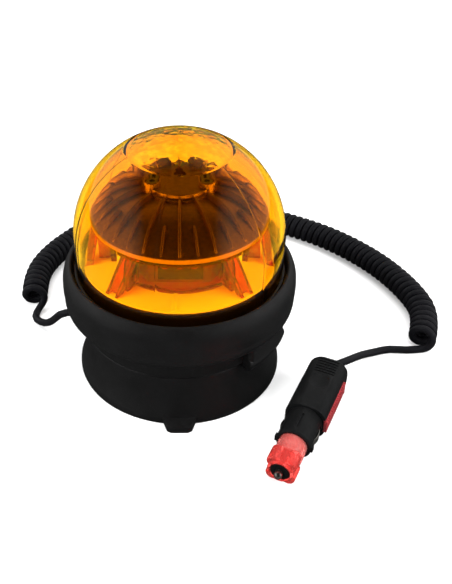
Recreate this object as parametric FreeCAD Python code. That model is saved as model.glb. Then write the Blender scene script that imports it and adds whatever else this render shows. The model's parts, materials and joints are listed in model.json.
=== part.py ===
"""LED warning beacon on a magnet foot, with a curly lead and a universal 12 V plug.

Millimetres, +Z up. The origin is the centre of the foot's underside, on the surface it stands on.
Azimuth is counted from the front (-Y), positive towards the right (+X).
"""
import FreeCAD, Part
import math
import os
from FreeCAD import Vector

# ---------------------------------------------------------------- clearances
AIR = 0.3              # between a moving or soft piece and its neighbour
FIT = 0.1              # round piece seated in a round hole
RUN = 0.05             # running fit of a pin in a hole

# ---------------------------------------------------------------- foot
foot_lip_radius = 64.5
foot_waist_radius = 59.4
foot_height = 33.0
foot_wall = 4.6
foot_flange = 3.0              # inward flange at the top of the skirt
foot_flange_radius = 50.0
tab_reach = 7.2                # release tab past the lip
tab_root_width = 21.0
tab_tip_width = 12.6
tab_thickness = 4.5
pot_radius = 46.0
pot_height = 12.0
pot_wall = 4.0
pole_radius = 12.0
magnet_recess = 0.8            # magnet face behind the pot's face
stud_radius = 4.0
nut_flats = 13.0
nut_height = 6.5
washer_radius = 8.0
washer_thickness = 1.6

# ---------------------------------------------------------------- housing
housing_floor = 4.0
seat_ledge = 2.2               # the seat stands out past the lens
seat_step = 3.2                # from the seat down to the skirt
skirt_draft = 1.4              # the skirt is narrower at its foot
skirt_height = 17.0            # from the foot up to the collar's seat
wall = 2.8
seat_height = 17.0
neck_play = 0.4                # round the neck, inside the lens
neck_height = 12.5
post_radius = 4.6
post_circle = 17.4             # long screws that hold the light to the base
screw_radius = 2.0
stand_radius = 3.2
stand_inset = 6.0              # from the driver board's edge
lug_azimuth = 55.0
lug_half_width = 17.0          # degrees
lug_reach = 5.6
lug_height = 17.5

# ---------------------------------------------------------------- collar
collar_wall = 6.1              # thickest, outside its bore
collar_top_gap = 2.5           # air between collar and lens
collar_height = 29.0
collar_hook = 2.6              # lower lip, hooked under the seat
collar_hook_thickness = 2.2

# ---------------------------------------------------------------- lens
lens_radius = 62.6
lens_wall = 3.0
lens_straight = 25.5           # straight skirt below the round dome
flange_reach = 1.6
flange_height = 3.2
ridge_height = 0.35
ridge_width = 1.1
ridge_azimuth = -12.0
ridge_count = 6
cap_radius = 28.5              # fine groove round the top
cap_groove = 0.4
seal_thickness = 1.4
bayonet_count = 3
bayonet_azimuth = 30.0
bayonet_depth = 1.4
bayonet_height = 2.8
bayonet_width = 10.0           # degrees
lens_turn = 20.0               # degrees from locked to free

# ---------------------------------------------------------------- light
deck_thickness = 1.5
deck_air = 2.2                 # round the deck, inside the lens
deck_rim_depth = 3.0
lead_hole_radius = 8.0
shield_step = 0.5              # behind the windows' faces
shield_half_angle = 13.0
shield_thickness = 2.0
window_depth = 12.5            # from the heat sink's rim in to the windows' faces
window_thickness = 2.6
window_half_angle = 45.0
sill_reach = 2.5
sill_height = 1.2
light_height = 26.5            # deck to the underside of the heat sink's rim
optic_flange = 2.4
optic_flange_step = 0.5        # inside the heat sink's rim
optic_flange_half_angle = 41.0
leg_azimuth = 37.5
leg_lean = 3.4                 # sideways from its middle, inwards at the top and outwards at the foot
leg_width = 8.4
leg_depth = 4.6
leg_fin = 1.9                  # the two fins of the leg's channel section
leg_back = 1.5
leg_top_inset = 3.1            # from the heat sink's rim
leg_foot_inset = 3.0           # from the deck's edge
seam_azimuth = -3.0            # raised index on the deck
seam_half_angle = 1.3
seam_height = 0.8
core_depth = 9.0               # from the windows' faces in to the core's flats
core_wall = 4.5
board_width = 26.0
board_height = 20.0
board_thickness = 1.6
chip_size = 4.6
chip_height = 1.6
chip_pitch = 8.0
chips_per_board = 3
led_lead_radius = 0.9

# ---------------------------------------------------------------- heat sink
rim_air = 8.1                  # round the heat sink, inside the lens's skirt
rim_height = 3.2
umbrella_thickness = 2.6
hub_radius = 20.0
hub_height = 4.0
hub_step = 1.6                  # low step round the hub's foot
hub_step_height = 1.4
hub_hole_radius = 3.3
hub_hole_depth = 3.0
hub_hole_place = 6.6           # behind the middle
parapet_height = 3.0
parapet_wall = 3.4
parapet_azimuths = [148.0, 212.0]
parapet_half_angle = 15.0
boss_radius = 4.6
boss_height = 3.0
pin_radius = 1.1
pin_place = 12.0
pin_height = 4.6
rib_count = 32
rib_thickness = 1.5
rib_rise = 3.8
short_rib_length = 13.5
umbrella_rise = 16.5           # rim top to hub foot
screw_head_radius = 3.4
screw_head_height = 2.2
socket_radius = 1.7
socket_depth = 1.4
pocket_depth = 2.6

# ---------------------------------------------------------------- driver
driver_air = 5.6               # round the driver board, inside the skirt
driver_thickness = 1.6
driver_height = 21.0           # above the housing's floor
small_screw_radius = 1.5
small_head_radius = 2.8
small_head_height = 1.8
capacitor_radius = 5.0
capacitor_height = 12.0
choke_radius = 7.0
choke_bore = 2.5
choke_height = 7.0
chip_case = 10.0
chip_case_height = 2.2
terminal_length = 18.0
terminal_height = 9.0
parts_inset = 19.0             # of the tall parts, from the board's edge

# ---------------------------------------------------------------- lead
wire_radius = 2.5
coil_radius = 9.5
exit_azimuth = -85.0
exit_height = 39.5
cable_boss_radius = 8.0
cable_boss_step = 1.0          # past the skirt
grommet_flange_radius = 6.4
grommet_flange = 1.6
grommet_hole_radius = 5.0
grommet_reach = 3.0

# ---------------------------------------------------------------- plug
plug_rear = Vector(93.5, -29.6, 0)
plug_heading = 244.3           # degrees, the way its tip points
body_length = 47.5
body_width = 24.5
body_height = 23.2
body_corner = 9.0
body_wall = 2.4
grip_ribs = 6
grip_pitch = 2.3
grip_depth = 0.9
strip_length = 37.0
strip_height = 9.0
strip_reach = 1.2
strip_seat = 1.2
strip_ribs = 17
barrel_radius = 10.5
barrel_length = 21.0
barrel_wall = 2.0
spigot_length = 5.0
nose_radius = 6.0
nose_reach = 22.0              # past the barrel
nose_wall = 2.55
nose_flange = 4.0
neck_wall = 2.3                # adapter sleeve
neck_insert = 5.0
neck_reach = 10.0
head_length = 12.0
head_core = 7.6
lobe_radius = 4.0
lobe_circle = 6.4
lobe_count = 4
tip_radius = 2.4
tip_reach = 4.5
tip_collar_radius = 3.2
tip_collar = 2.0
spring_length = 8.0
fuse_radius = 3.1
fuse_length = 30.0
contact_width = 4.4
contact_thickness = 0.6
contact_length = 13.0
contact_bow = 2.2
plug_screw_radius = 1.25
plug_head_radius = 2.6
plug_head_height = 1.6
plug_head_low = -9.6           # below the parting plane
plug_screw_reach = 6.0         # above the parting plane

# ---------------------------------------------------------------- routes of the lead
base_route = [Vector(-79.5, 6, 26), Vector(-88, 20, 9), Vector(-96, 29, 2.7), Vector(-101, 35.5, 2.6),
              Vector(-98.5, 44, 3.4), Vector(-95.0, 50.5, 7.5)]
coil_route = [(-101.5, 47), (-104.6, 72), (-98, 98), (-82, 124), (-52, 158), (-10, 176), (36, 170), (80, 148.5),
              (117, 125), (148, 89.5), (165.5, 51), (168, 24), (158.5, 0.5)]
plug_route = [Vector(158.5, 1.0, 2.6), Vector(149, -0.2, 2.6), Vector(138.5, 1.5, 2.6), Vector(127, -2.5, 2.7),
              Vector(118, -7.5, 5.0), Vector(108.5, -17.4, 9.6)]

# ---------------------------------------------------------------- sizes and levels worked out from them
lens_bore = lens_radius - lens_wall
neck_radius = lens_bore - neck_play
seat_radius = lens_radius + seat_ledge
skirt_top_radius = seat_radius - seat_step
skirt_bottom_radius = skirt_top_radius - skirt_draft
skirt_bore = skirt_top_radius - wall - 1.2
collar_radius = lens_radius + collar_top_gap + collar_wall
deck_radius = lens_bore - deck_air
rim_radius = lens_bore - rim_air
short_rib_start = rim_radius - short_rib_length
optic_flange_radius = rim_radius - optic_flange_step
window_radius = rim_radius - window_depth
shield_radius = window_radius - shield_step
core_apothem = window_radius - core_depth
leg_top_radius = rim_radius - leg_top_inset
leg_foot_radius = deck_radius - leg_foot_inset
driver_radius = skirt_bore - driver_air
stand_circle = driver_radius - stand_inset
parts_circle = driver_radius - parts_inset
cable_boss_reach = skirt_top_radius + cable_boss_step
housing_base = foot_height
floor_top = housing_base + housing_floor
seat_bottom = housing_base + skirt_height
seat_top = seat_bottom + seat_height
neck_top = seat_top + neck_height
seal_top = seat_top + seal_thickness
lens_bottom = seal_top + AIR
dome_base = lens_bottom + lens_straight
deck_top = neck_top + deck_thickness
rim_bottom = deck_top + light_height
rim_top = rim_bottom + rim_height
hub_foot = rim_top + umbrella_rise
hub_top = hub_foot + hub_height
boss_top = hub_top + boss_height
board_level = floor_top + driver_height
board_top = board_level + driver_thickness
stud_top = floor_top + washer_thickness + nut_height + 1.5
light_azimuths = [0.0, 120.0, 240.0]
shield_azimuths = [60.0, 180.0, 300.0]
boss_azimuths = [60.0, 300.0]
screw_tops = [boss_top, hub_top, boss_top]   # over each screw, in the order of the shields
Z = Vector(0, 0, 1)
ORIGIN = Vector(0, 0, 0)


# ---------------------------------------------------------------- shape helpers
def spot(radius, azimuth, z=0.0):
    """Point at a radius and an azimuth counted from the front."""
    a = math.radians(azimuth)
    return Vector(radius * math.sin(a), -radius * math.cos(a), z)


def profile(points):
    """Closed wire in the XZ plane. A point given as a pair of pairs is an arc through the first."""
    edges = []
    last = Vector(points[0][0], 0, points[0][1])
    first = last
    for item in points[1:] + [points[0]]:
        if isinstance(item[0], tuple):
            middle = Vector(item[0][0], 0, item[0][1])
            end = Vector(item[1][0], 0, item[1][1])
            edges.append(Part.Arc(last, middle, end).toShape())
        else:
            end = Vector(item[0], 0, item[1])
            if (end - last).Length > 1e-6:
                edges.append(Part.LineSegment(last, end).toShape())
        last = end
    if (last - first).Length > 1e-6:
        edges.append(Part.LineSegment(last, first).toShape())
    return Part.Wire(edges)


def turned(points, angle=360.0):
    """Solid of revolution of a profile about Z."""
    return Part.Face(profile(points)).revolve(ORIGIN, Z, angle)


def sector(points, azimuth, half_angle):
    """Part of a ring, centred on an azimuth."""
    solid = turned(points, 2 * half_angle)
    solid.rotate(ORIGIN, Z, azimuth - 90 - half_angle)
    return solid


def ring(inner, outer, low, high):
    return [(inner, low), (outer, low), (outer, high), (inner, high)]


def rod(radius, base, direction, length):
    return Part.makeCylinder(radius, length, base, direction)


def bar(low, high):
    """Box between two corners."""
    size = high - low
    return Part.makeBox(size.x, size.y, size.z, low)


def around(shape, azimuths):
    """Copies of a shape made at the front, turned to each azimuth."""
    copies = []
    for azimuth in azimuths:
        copy = shape.copy()
        copy.rotate(ORIGIN, Z, azimuth)
        copies.append(copy)
    return copies


def spaced(count, first=0.0):
    return [first + index * 360.0 / count for index in range(count)]


def plate(points, low, high):
    """Prism of a polygon in plan."""
    corners = [Vector(x, y, low) for x, y in points]
    wire = Part.makePolygon(corners + [corners[0]])
    return Part.Face(wire).extrude(Vector(0, 0, high - low))


def hexagon(flats, low, high):
    radius = flats / math.sqrt(3)
    corners = [(radius * math.cos(math.radians(a)), radius * math.sin(math.radians(a))) for a in spaced(6)]
    return plate(corners, low, high)


def route(points):
    """Straight runs joined by tangent arcs, each as large as its two runs allow."""
    edges = []
    radii = []
    last = points[0]
    for before, here, after in zip(points, points[1:], points[2:]):
        come = (here - before)
        go = (after - here)
        half = come.getAngle(go) / 2
        reach = 0.45 * min(come.Length, go.Length)
        radius = reach / math.tan(half)
        come.normalize()
        go.normalize()
        start = here - come * reach
        end = here + go * reach
        inward = go - come
        inward.normalize()
        middle = here + inward * (radius / math.cos(half) - radius)
        edges.append(Part.LineSegment(last, start).toShape())
        edges.append(Part.Arc(start, middle, end).toShape())
        radii.append(round(radius, 1))
        last = end
    edges.append(Part.LineSegment(last, points[-1]).toShape())
    return Part.Wire(edges), radii


def tube(name, points, radius):
    """Round cord along a route. Prints its radii and how far its volume is from section times length."""
    path, radii = route(points)
    start = path.Edges[0]
    direction = start.tangentAt(start.FirstParameter)
    circle = Part.Wire(Part.makeCircle(radius, points[0], direction))
    solid = path.makePipeShell([circle], True, False)
    ideal = math.pi * radius ** 2 * path.Length
    print(name, "length", round(path.Length, 1), "radii", radii, "volume ratio", round(solid.Volume / ideal, 4))
    return solid


# ---------------------------------------------------------------- foot
def foot_cup():
    top = foot_height
    inner_top = foot_waist_radius - foot_wall
    skirt = turned([
        (foot_lip_radius - 3.2, 0),
        (foot_lip_radius, 0),
        (foot_lip_radius - 0.2, 2.5),
        ((foot_waist_radius + 1.2, top * 0.45), (foot_waist_radius, top * 0.78)),
        (foot_waist_radius, top - 1.5),
        (foot_waist_radius - 1.0, top),
        (foot_flange_radius, top),
        (foot_flange_radius, top - foot_flange),
        (inner_top, top - foot_flange),
        (inner_top + 0.8, pot_height),
    ])
    root = foot_lip_radius - 3.0
    tip = foot_lip_radius + tab_reach
    half_root = tab_root_width / 2
    half_tip = tab_tip_width / 2
    tab = plate([
        (-half_root, -root), (-half_root + 1.0, -foot_lip_radius + 0.5), (-half_tip - 1.2, 1.6 - tip),
        (-half_tip + 1.2, -tip), (half_tip - 1.2, -tip), (half_tip + 1.2, 1.6 - tip),
        (half_root - 1.0, -foot_lip_radius + 0.5), (half_root, -root),
    ], 0, tab_thickness)
    bore = turned([
        (0, 0), (foot_lip_radius - 3.2, 0), (inner_top + 0.8, pot_height), (0, pot_height),
    ])
    return skirt.fuse(tab.cut(bore)).removeSplitter()


def magnet_carrier():
    outer = foot_waist_radius - foot_wall - FIT
    hub = foot_flange_radius - FIT
    hole = stud_radius + FIT
    return turned([
        (hole, pot_height), (outer - 1.5, pot_height), (outer, pot_height + 1.5),
        (outer, foot_height - foot_flange), (hub, foot_height - foot_flange), (hub, foot_height),
        (hole, foot_height),
    ])


def magnet_pot():
    inner = pot_radius - pot_wall
    ceiling = pot_height - pot_wall + 0.5
    return turned([
        (0, 0), (pole_radius, 0), (pole_radius, ceiling), (inner, ceiling), (inner, 0), (pot_radius, 0),
        (pot_radius, pot_height - 1.0), (pot_radius - 1.0, pot_height), (stud_radius, pot_height),
        (stud_radius, stud_top - 0.8), (stud_radius - 0.8, stud_top), (0, stud_top),
    ])


def ring_magnet():
    ceiling = pot_height - pot_wall + 0.5
    return turned(ring(pole_radius + FIT, pot_radius - pot_wall - FIT, magnet_recess, ceiling))


def foot_washer():
    return turned(ring(stud_radius + FIT, washer_radius, floor_top, floor_top + washer_thickness))


def foot_nut():
    low = floor_top + washer_thickness
    nut = hexagon(nut_flats, low, low + nut_height)
    return nut.cut(rod(stud_radius + RUN, Vector(0, 0, low), Z, nut_height))


# ---------------------------------------------------------------- housing
def exit_direction():
    return spot(1.0, exit_azimuth)


def bayonet_tracks():
    """Entry slots down the neck, each with a level track that the lens lug turns into."""
    inner = neck_radius - bayonet_depth - AIR
    low = lens_bottom
    high = lens_bottom + bayonet_height + 2 * AIR
    slack = math.degrees(AIR / neck_radius)
    half = bayonet_width / 2 + slack
    cuts = []
    for azimuth in spaced(bayonet_count, bayonet_azimuth):
        entry = sector(ring(inner, neck_radius + 1, low, neck_top + 1), azimuth + lens_turn, half)
        level = sector(ring(inner, neck_radius + 1, low, high), azimuth + lens_turn / 2, half + lens_turn / 2)
        cuts += [entry, level]
    return cuts


def base_housing():
    inner_seat = seat_radius - wall - 0.5
    inner_neck = neck_radius - wall
    shell = turned([
        (stud_radius + 0.2, housing_base),
        (skirt_bottom_radius - 1.0, housing_base),
        (skirt_bottom_radius, housing_base + 1.0),
        (skirt_top_radius, seat_bottom),
        (seat_radius, seat_bottom),
        (seat_radius, seat_top),
        (neck_radius, seat_top),
        (neck_radius, neck_top - 0.6),
        (neck_radius - 0.6, neck_top),
        (inner_neck, neck_top),
        (inner_neck, seat_top - wall),
        (inner_seat, seat_top - wall - 2.0),
        (inner_seat, seat_bottom + wall + 1.5),
        (skirt_bore, seat_bottom),
        (skirt_bore, floor_top),
        (stud_radius + 0.2, floor_top),
    ])
    post_length = neck_top - floor_top
    posts = around(rod(post_radius, spot(post_circle, 0, floor_top), Z, post_length), shield_azimuths)
    stand = rod(stand_radius, spot(stand_circle, 0, floor_top), Z, driver_height)
    stands = around(stand, light_azimuths)
    out = exit_direction()
    boss_start = spot(skirt_bore + 0.5, exit_azimuth, exit_height)
    boss = rod(cable_boss_radius, boss_start, out, cable_boss_reach - skirt_bore - 0.5)
    boss = boss.common(turned(ring(0, 100, housing_base, seat_bottom)))
    body = shell.fuse(posts + stands + [side_lug(), boss])
    screw_hole = rod(screw_radius + RUN, spot(post_circle, 0, floor_top + 1), Z, post_length)
    small_hole = rod(small_screw_radius + RUN, spot(stand_circle, 0, floor_top + 1), Z, driver_height)
    hole_start = spot(skirt_bore - 2, exit_azimuth, exit_height)
    cable_hole = rod(grommet_hole_radius, hole_start, out, cable_boss_reach)
    cuts = around(screw_hole, shield_azimuths) + around(small_hole, light_azimuths) + [cable_hole]
    return body.cut(cuts + bayonet_tracks()).removeSplitter()


def side_lug():
    """Rounded lug moulded on the skirt, under the collar."""
    inner = skirt_bottom_radius - 1.4
    outer = skirt_top_radius + lug_reach
    top = seat_bottom - collar_hook_thickness - AIR
    low = top - lug_height
    lug = sector([
        (inner, top - lug_height * 0.8), ((outer - 1.4, low + 1.6), (outer, low + lug_height * 0.45)),
        (outer, top), (inner, top),
    ], lug_azimuth, lug_half_width)
    upright = [edge for edge in lug.Edges if abs(edge.BoundBox.ZLength - edge.Length) < 0.01
               and math.hypot(edge.BoundBox.Center.x, edge.BoundBox.Center.y) > outer - 0.5]
    return lug.makeFillet(3.0, upright)


def rubber_collar():
    hook_bottom = seat_bottom - collar_hook_thickness
    top = hook_bottom + collar_height
    inner_top = lens_radius + collar_top_gap
    seat = seat_radius + FIT
    return turned([
        (seat, seat_bottom - FIT),
        (skirt_top_radius + FIT + 0.4, seat_bottom - FIT),
        (skirt_top_radius + FIT + 0.4, hook_bottom + 0.6),
        (skirt_top_radius + FIT + 1.0, hook_bottom),
        (collar_radius - 4.8, hook_bottom),
        ((collar_radius - 2.0, hook_bottom + 2.0), (collar_radius - 0.5, hook_bottom + 8.0)),
        ((collar_radius, hook_bottom + 15.0), (collar_radius - 0.3, hook_bottom + 20.5)),
        ((collar_radius - 2.0, hook_bottom + 25.8), (inner_top + 1.6, top)),
        (inner_top + 0.4, top - 0.4),
        (inner_top, top - 1.4),
        (inner_top, seat_top + 1.0),
        (seat, seat_top - 0.5),
    ])


# ---------------------------------------------------------------- lens
def dome_point(radius, angle):
    """Point on the dome's section, at an angle up from its base."""
    if angle == 90:
        return (0.0, dome_base + radius)
    a = math.radians(angle)
    return (radius * math.cos(a), dome_base + radius * math.sin(a))


def lens():
    """Amber dome with its bead, ridges and bayonet lugs. A fine groove runs round its top."""
    cap = math.degrees(math.acos(cap_radius / lens_radius))
    bead = lens_radius + flange_reach
    bead_low = lens_bottom + 1.2
    shell = turned([
        (lens_bore, lens_bottom), (lens_radius - 0.4, lens_bottom), (lens_radius, lens_bottom + 0.4),
        (lens_radius, bead_low), (bead - 0.5, bead_low),
        ((bead, bead_low + flange_height / 2), (bead - 0.5, bead_low + flange_height)),
        (lens_radius, bead_low + flange_height), (lens_radius, dome_base),
        (dome_point(lens_radius, cap / 2), dome_point(lens_radius, cap - 0.7)),
        dome_point(lens_radius - cap_groove, cap - 0.3), dome_point(lens_radius - cap_groove, cap + 0.3),
        dome_point(lens_radius, cap + 0.7),
        (dome_point(lens_radius, (cap + 90) / 2), dome_point(lens_radius, 90)),
        dome_point(lens_bore, 90),
        (dome_point(lens_bore, 45), dome_point(lens_bore, 0)),
    ])
    lug_low = lens_bottom + AIR
    lug_shape = ring(neck_radius - bayonet_depth, lens_bore + 0.5, lug_low, lug_low + bayonet_height)
    lugs = [sector(lug_shape, azimuth, bayonet_width / 2) for azimuth in spaced(bayonet_count, bayonet_azimuth)]
    return shell.fuse(ridges() + lugs).removeSplitter()


def ridges():
    """Thin ridges that run from the top circle down to the skirt."""
    low = lens_bottom + flange_height + 2
    start = math.degrees(math.acos(cap_radius / lens_radius)) - 2.5
    outer = lens_radius + ridge_height
    inner = lens_radius - 1
    blade = Part.Face(profile([
        (inner, low), (outer, low), (outer, dome_base),
        (dome_point(outer, start / 2), dome_point(outer, start)), dome_point(inner, start),
        (dome_point(inner, start / 2), dome_point(inner, 0)),
    ]))
    blade.translate(Vector(0, -ridge_width / 2, 0))
    blade = blade.extrude(Vector(0, ridge_width, 0))
    blade.rotate(ORIGIN, Z, -90)
    return around(blade, spaced(ridge_count, ridge_azimuth))


def lens_seal():
    return turned(ring(neck_radius + 0.8, lens_radius - 0.4, seat_top, seal_top))


# ---------------------------------------------------------------- light
def deck_plate():
    """Light deck with three shields that close the gaps between the windows."""
    inner_neck = neck_radius - wall
    disc = turned([
        (lead_hole_radius, neck_top), (inner_neck - FIT - 2.2, neck_top),
        (inner_neck - FIT - 2.2, neck_top - deck_rim_depth), (inner_neck - FIT, neck_top - deck_rim_depth),
        (inner_neck - FIT, neck_top), (deck_radius, neck_top), (deck_radius, deck_top),
        (lead_hole_radius, deck_top),
    ])
    shield_top = rim_bottom - optic_flange
    shape = ring(shield_radius - shield_thickness, shield_radius, deck_top - 0.5, shield_top)
    shields = [sector(shape, azimuth, shield_half_angle) for azimuth in shield_azimuths]
    seam_shape = ring(window_radius + sill_reach + AIR, deck_radius, deck_top - 0.5, deck_top + seam_height)
    shields.append(sector(seam_shape, seam_azimuth, seam_half_angle))
    holes = around(rod(screw_radius + FIT, spot(post_circle, 0, neck_top - 1), Z, 4), shield_azimuths)
    return disc.fuse(shields).cut(holes).removeSplitter()


def optic(azimuth):
    """Clear window with a flange above it and a leg at each end, made at the front and turned."""
    window = sector(ring(window_radius - window_thickness, window_radius, deck_top,
                         rim_bottom - optic_flange + 0.1), 0, window_half_angle)
    flange_low = rim_bottom - optic_flange
    flange = sector(ring(window_radius - window_thickness, optic_flange_radius, flange_low, rim_bottom),
                    0, optic_flange_half_angle)
    sill = sector(ring(window_radius - window_thickness, window_radius + sill_reach, deck_top,
                       deck_top + sill_height), 0, window_half_angle)
    legs = [leg(-1), leg(1)]
    body = window.fuse([flange, sill] + legs).removeSplitter()
    body.rotate(ORIGIN, Z, azimuth)
    return body


def leg(side):
    """Clear leg with a channel section, open outwards, that spreads from the flange to its foot on the deck."""
    def section(radius, x, width, z, near=0.0):
        inner = -(radius - leg_depth / 2) - near
        outer = -(radius + leg_depth / 2) - (1.0 if near else 0.0)
        corners = [Vector(x - width / 2, outer, z), Vector(x + width / 2, outer, z),
                   Vector(x + width / 2, inner, z), Vector(x - width / 2, inner, z)]
        return Part.makePolygon(corners + [corners[0]])
    top = rim_bottom - optic_flange
    lean = side * leg_lean
    column = Part.makeLoft([section(leg_foot_radius, lean, leg_width, deck_top),
                            section(leg_top_radius, -lean, leg_width, top + 0.2)], True, True)
    gap = leg_width - 2 * leg_fin
    channel = Part.makeLoft([section(leg_foot_radius, lean, gap, deck_top, leg_back),
                             section(leg_top_radius, -lean, gap, top, leg_back)], True, True)
    web = bar(Vector(-leg_fin / 2, -leg_top_radius, deck_top),
              Vector(leg_fin / 2, -window_radius + 0.5, top + 0.1))
    body = column.cut(channel).fuse(web)
    body.rotate(ORIGIN, Z, side * leg_azimuth)
    return body


def board_centre_z():
    return deck_top + light_height / 2


def led_boards():
    z = board_centre_z()
    plane = core_apothem
    board = bar(Vector(-board_width / 2, -plane - board_thickness, z - board_height / 2),
                Vector(board_width / 2, -plane, z + board_height / 2))
    return Part.makeCompound(around(board, light_azimuths))


def led_chips():
    z = board_centre_z()
    face = -core_apothem - board_thickness
    chips = []
    for index in range(chips_per_board):
        x = (index - (chips_per_board - 1) / 2) * chip_pitch
        half = chip_size / 2
        base = bar(Vector(x - half, face - chip_height * 0.5, z - half), Vector(x + half, face, z + half))
        bead = rod(half * 0.8, Vector(x, face - chip_height * 0.4, z), Vector(0, -1, 0), chip_height * 0.6)
        chips += around(base.fuse(bead).removeSplitter(), light_azimuths)
    return Part.makeCompound(chips)


def led_leads():
    """One lead to each board, up through the deck and out through the core's wall."""
    rise = board_centre_z()
    leads = []
    for azimuth in light_azimuths:
        points = [spot(lead_hole_radius / 2, azimuth, board_top),
                  spot(lead_hole_radius / 2, azimuth, rise),
                  spot(core_apothem, azimuth, rise)]
        leads.append(tube("led lead", points, led_lead_radius))
    return Part.makeCompound(leads)


# ---------------------------------------------------------------- heat sink
def umbrella_top(radius):
    """Height of the valley surface between the ribs, falling faster towards the rim."""
    span = rim_radius - hub_radius
    return rim_top + umbrella_rise * (1 - ((radius - hub_radius) / span) ** 2)


def heat_sink():
    middle = hub_radius + (rim_radius - hub_radius) * 0.55
    under = umbrella_thickness
    shell = turned([
        (0, hub_foot - under), (hub_radius, hub_foot - under),
        ((middle, umbrella_top(middle) - under), (rim_radius - under, rim_bottom + 0.8)),
        (rim_radius - under, rim_bottom), (rim_radius, rim_bottom), (rim_radius, rim_top),
        ((middle, umbrella_top(middle)), (hub_radius, hub_foot)),
        (hub_radius, hub_top), (0, hub_top),
    ])
    core_top = hub_foot - under + 0.5
    core = hexagon(2 * core_apothem, deck_top, core_top)
    core = core.cut(hexagon(2 * (core_apothem - core_wall), deck_top, core_top))
    core = core.common(turned(core_limit()))
    step = turned(ring(hub_radius - 1, hub_radius + hub_step, hub_foot - 1.0, hub_foot + hub_step_height))
    parapet_shape = ring(hub_radius - parapet_wall, hub_radius, hub_top - 0.5, hub_top + parapet_height)
    parapets = [sector(parapet_shape, azimuth, parapet_half_angle) for azimuth in parapet_azimuths]
    boss = rod(boss_radius, spot(post_circle, 0, hub_foot - 1), Z, boss_top - hub_foot + 1)
    bosses = around(boss, boss_azimuths)
    pin = rod(pin_radius, Vector(0, pin_place, hub_top - 0.5), Z, pin_height + 0.5)
    body = shell.fuse([core, step, pin] + parapets + bosses + ribs())
    through = rod(screw_radius + FIT, spot(post_circle, 0, hub_foot - under - 1), Z, boss_top)
    centre = rod(hub_hole_radius, Vector(0, hub_hole_place, hub_top - hub_hole_depth), Z, hub_hole_depth + 1)
    lead_way = rod(led_lead_radius + AIR, Vector(0, 0, board_centre_z()), Vector(0, -1, 0), core_apothem + 1)
    pockets = []
    for azimuth, top in zip(shield_azimuths, screw_tops):
        pockets.append(rod(screw_head_radius + AIR, spot(post_circle, azimuth, top - pocket_depth), Z, boss_height + 5))
    cuts = around(through, shield_azimuths) + [centre] + around(lead_way, light_azimuths) + pockets
    return body.cut(cuts).removeSplitter()


def core_limit():
    """The core stays under the umbrella's upper face."""
    corner = core_apothem * 2 / math.sqrt(3) + 1
    return [(0, deck_top), (corner, deck_top), (corner, umbrella_top(corner) - 1.0), (hub_radius, hub_foot - 1.0),
            (0, hub_foot - 1.0)]


def rib(start):
    """Radial rib that stands on the umbrella and fades into the rim."""
    end = rim_radius - 1.0
    middle = (start + end) / 2
    first = umbrella_top(start)
    nose = start + rib_rise
    quarter = (nose + end) / 2
    face = Part.Face(profile([
        (start, first - 1.2),
        (start, first + rib_rise * 0.2),
        ((start + rib_rise * 0.3, first + rib_rise * 0.75), (nose, umbrella_top(nose) + rib_rise)),
        ((quarter, umbrella_top(quarter) + rib_rise), (end, rim_top + 0.5)),
        (end, rim_top - 1.2),
        ((middle, umbrella_top(middle) - 1.2), (start, first - 1.2)),
    ]))
    face.translate(Vector(0, -rib_thickness / 2, 0))
    blade = face.extrude(Vector(0, rib_thickness, 0))
    blade.rotate(ORIGIN, Z, -90)
    return blade


def ribs():
    step = 360.0 / rib_count
    long_ribs = around(rib(hub_radius - 0.5), [2 * step * index for index in range(rib_count // 2)])
    short_ribs = around(rib(short_rib_start), [2 * step * index + step for index in range(rib_count // 2)])
    return long_ribs + short_ribs


def sink_screws():
    """Three like screws. The rear one sits lower, flush with the hub."""
    length = boss_top - pocket_depth - board_top - driver_height / 2
    screws = []
    for azimuth, top in zip(shield_azimuths, screw_tops):
        seat = top - pocket_depth
        shank = rod(screw_radius, spot(post_circle, azimuth, seat - length), Z, length + 0.5)
        head = rod(screw_head_radius, spot(post_circle, azimuth, seat), Z, screw_head_height)
        socket = rod(socket_radius, spot(post_circle, azimuth, seat + screw_head_height - socket_depth), Z, 5)
        screws.append(shank.fuse(head).cut(socket).removeSplitter())
    return Part.makeCompound(screws)


# ---------------------------------------------------------------- driver
def driver_board():
    board = rod(driver_radius, Vector(0, 0, board_level), Z, driver_thickness)
    post_hole = rod(post_radius + AIR, spot(post_circle, 0, board_level), Z, driver_thickness)
    screw_hole = rod(small_screw_radius + FIT, spot(stand_circle, 0, board_level), Z, driver_thickness)
    return board.cut(around(post_hole, shield_azimuths) + around(screw_hole, light_azimuths))


def board_parts():
    """Capacitors, choke, control chips and terminal block of the driver."""
    z = board_top
    up = Vector(0, 0, 1)
    capacitor = rod(capacitor_radius, spot(parts_circle, 0, z), up, capacitor_height)
    choke = turned(ring(choke_bore, choke_radius, z, z + choke_height))
    choke.translate(spot(parts_circle, 230))
    case = bar(Vector(-chip_case / 2, -chip_case / 2, z), Vector(chip_case / 2, chip_case / 2, z + chip_case_height))
    first = case.translated(spot(parts_circle * 0.85, 180))
    second = case.translated(spot(parts_circle, 30))
    terminal = bar(Vector(-terminal_length / 2, -chip_case / 2, z),
                   Vector(terminal_length / 2, chip_case / 2, z + terminal_height))
    terminal.rotate(ORIGIN, Z, 90)
    terminal.translate(spot(parts_circle * 1.15, 275))
    parts = around(capacitor, [86.0, 112.0]) + [choke, first, second, terminal]
    return Part.makeCompound(parts)


def board_screws():
    grip = driver_height * 0.4
    shank = rod(small_screw_radius, spot(stand_circle, 0, board_level - grip), Z,
                grip + driver_thickness + small_head_height / 2)
    head = rod(small_head_radius, spot(stand_circle, 0, board_top), Z, small_head_height)
    return Part.makeCompound(around(shank.fuse(head).removeSplitter(), light_azimuths))


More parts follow.
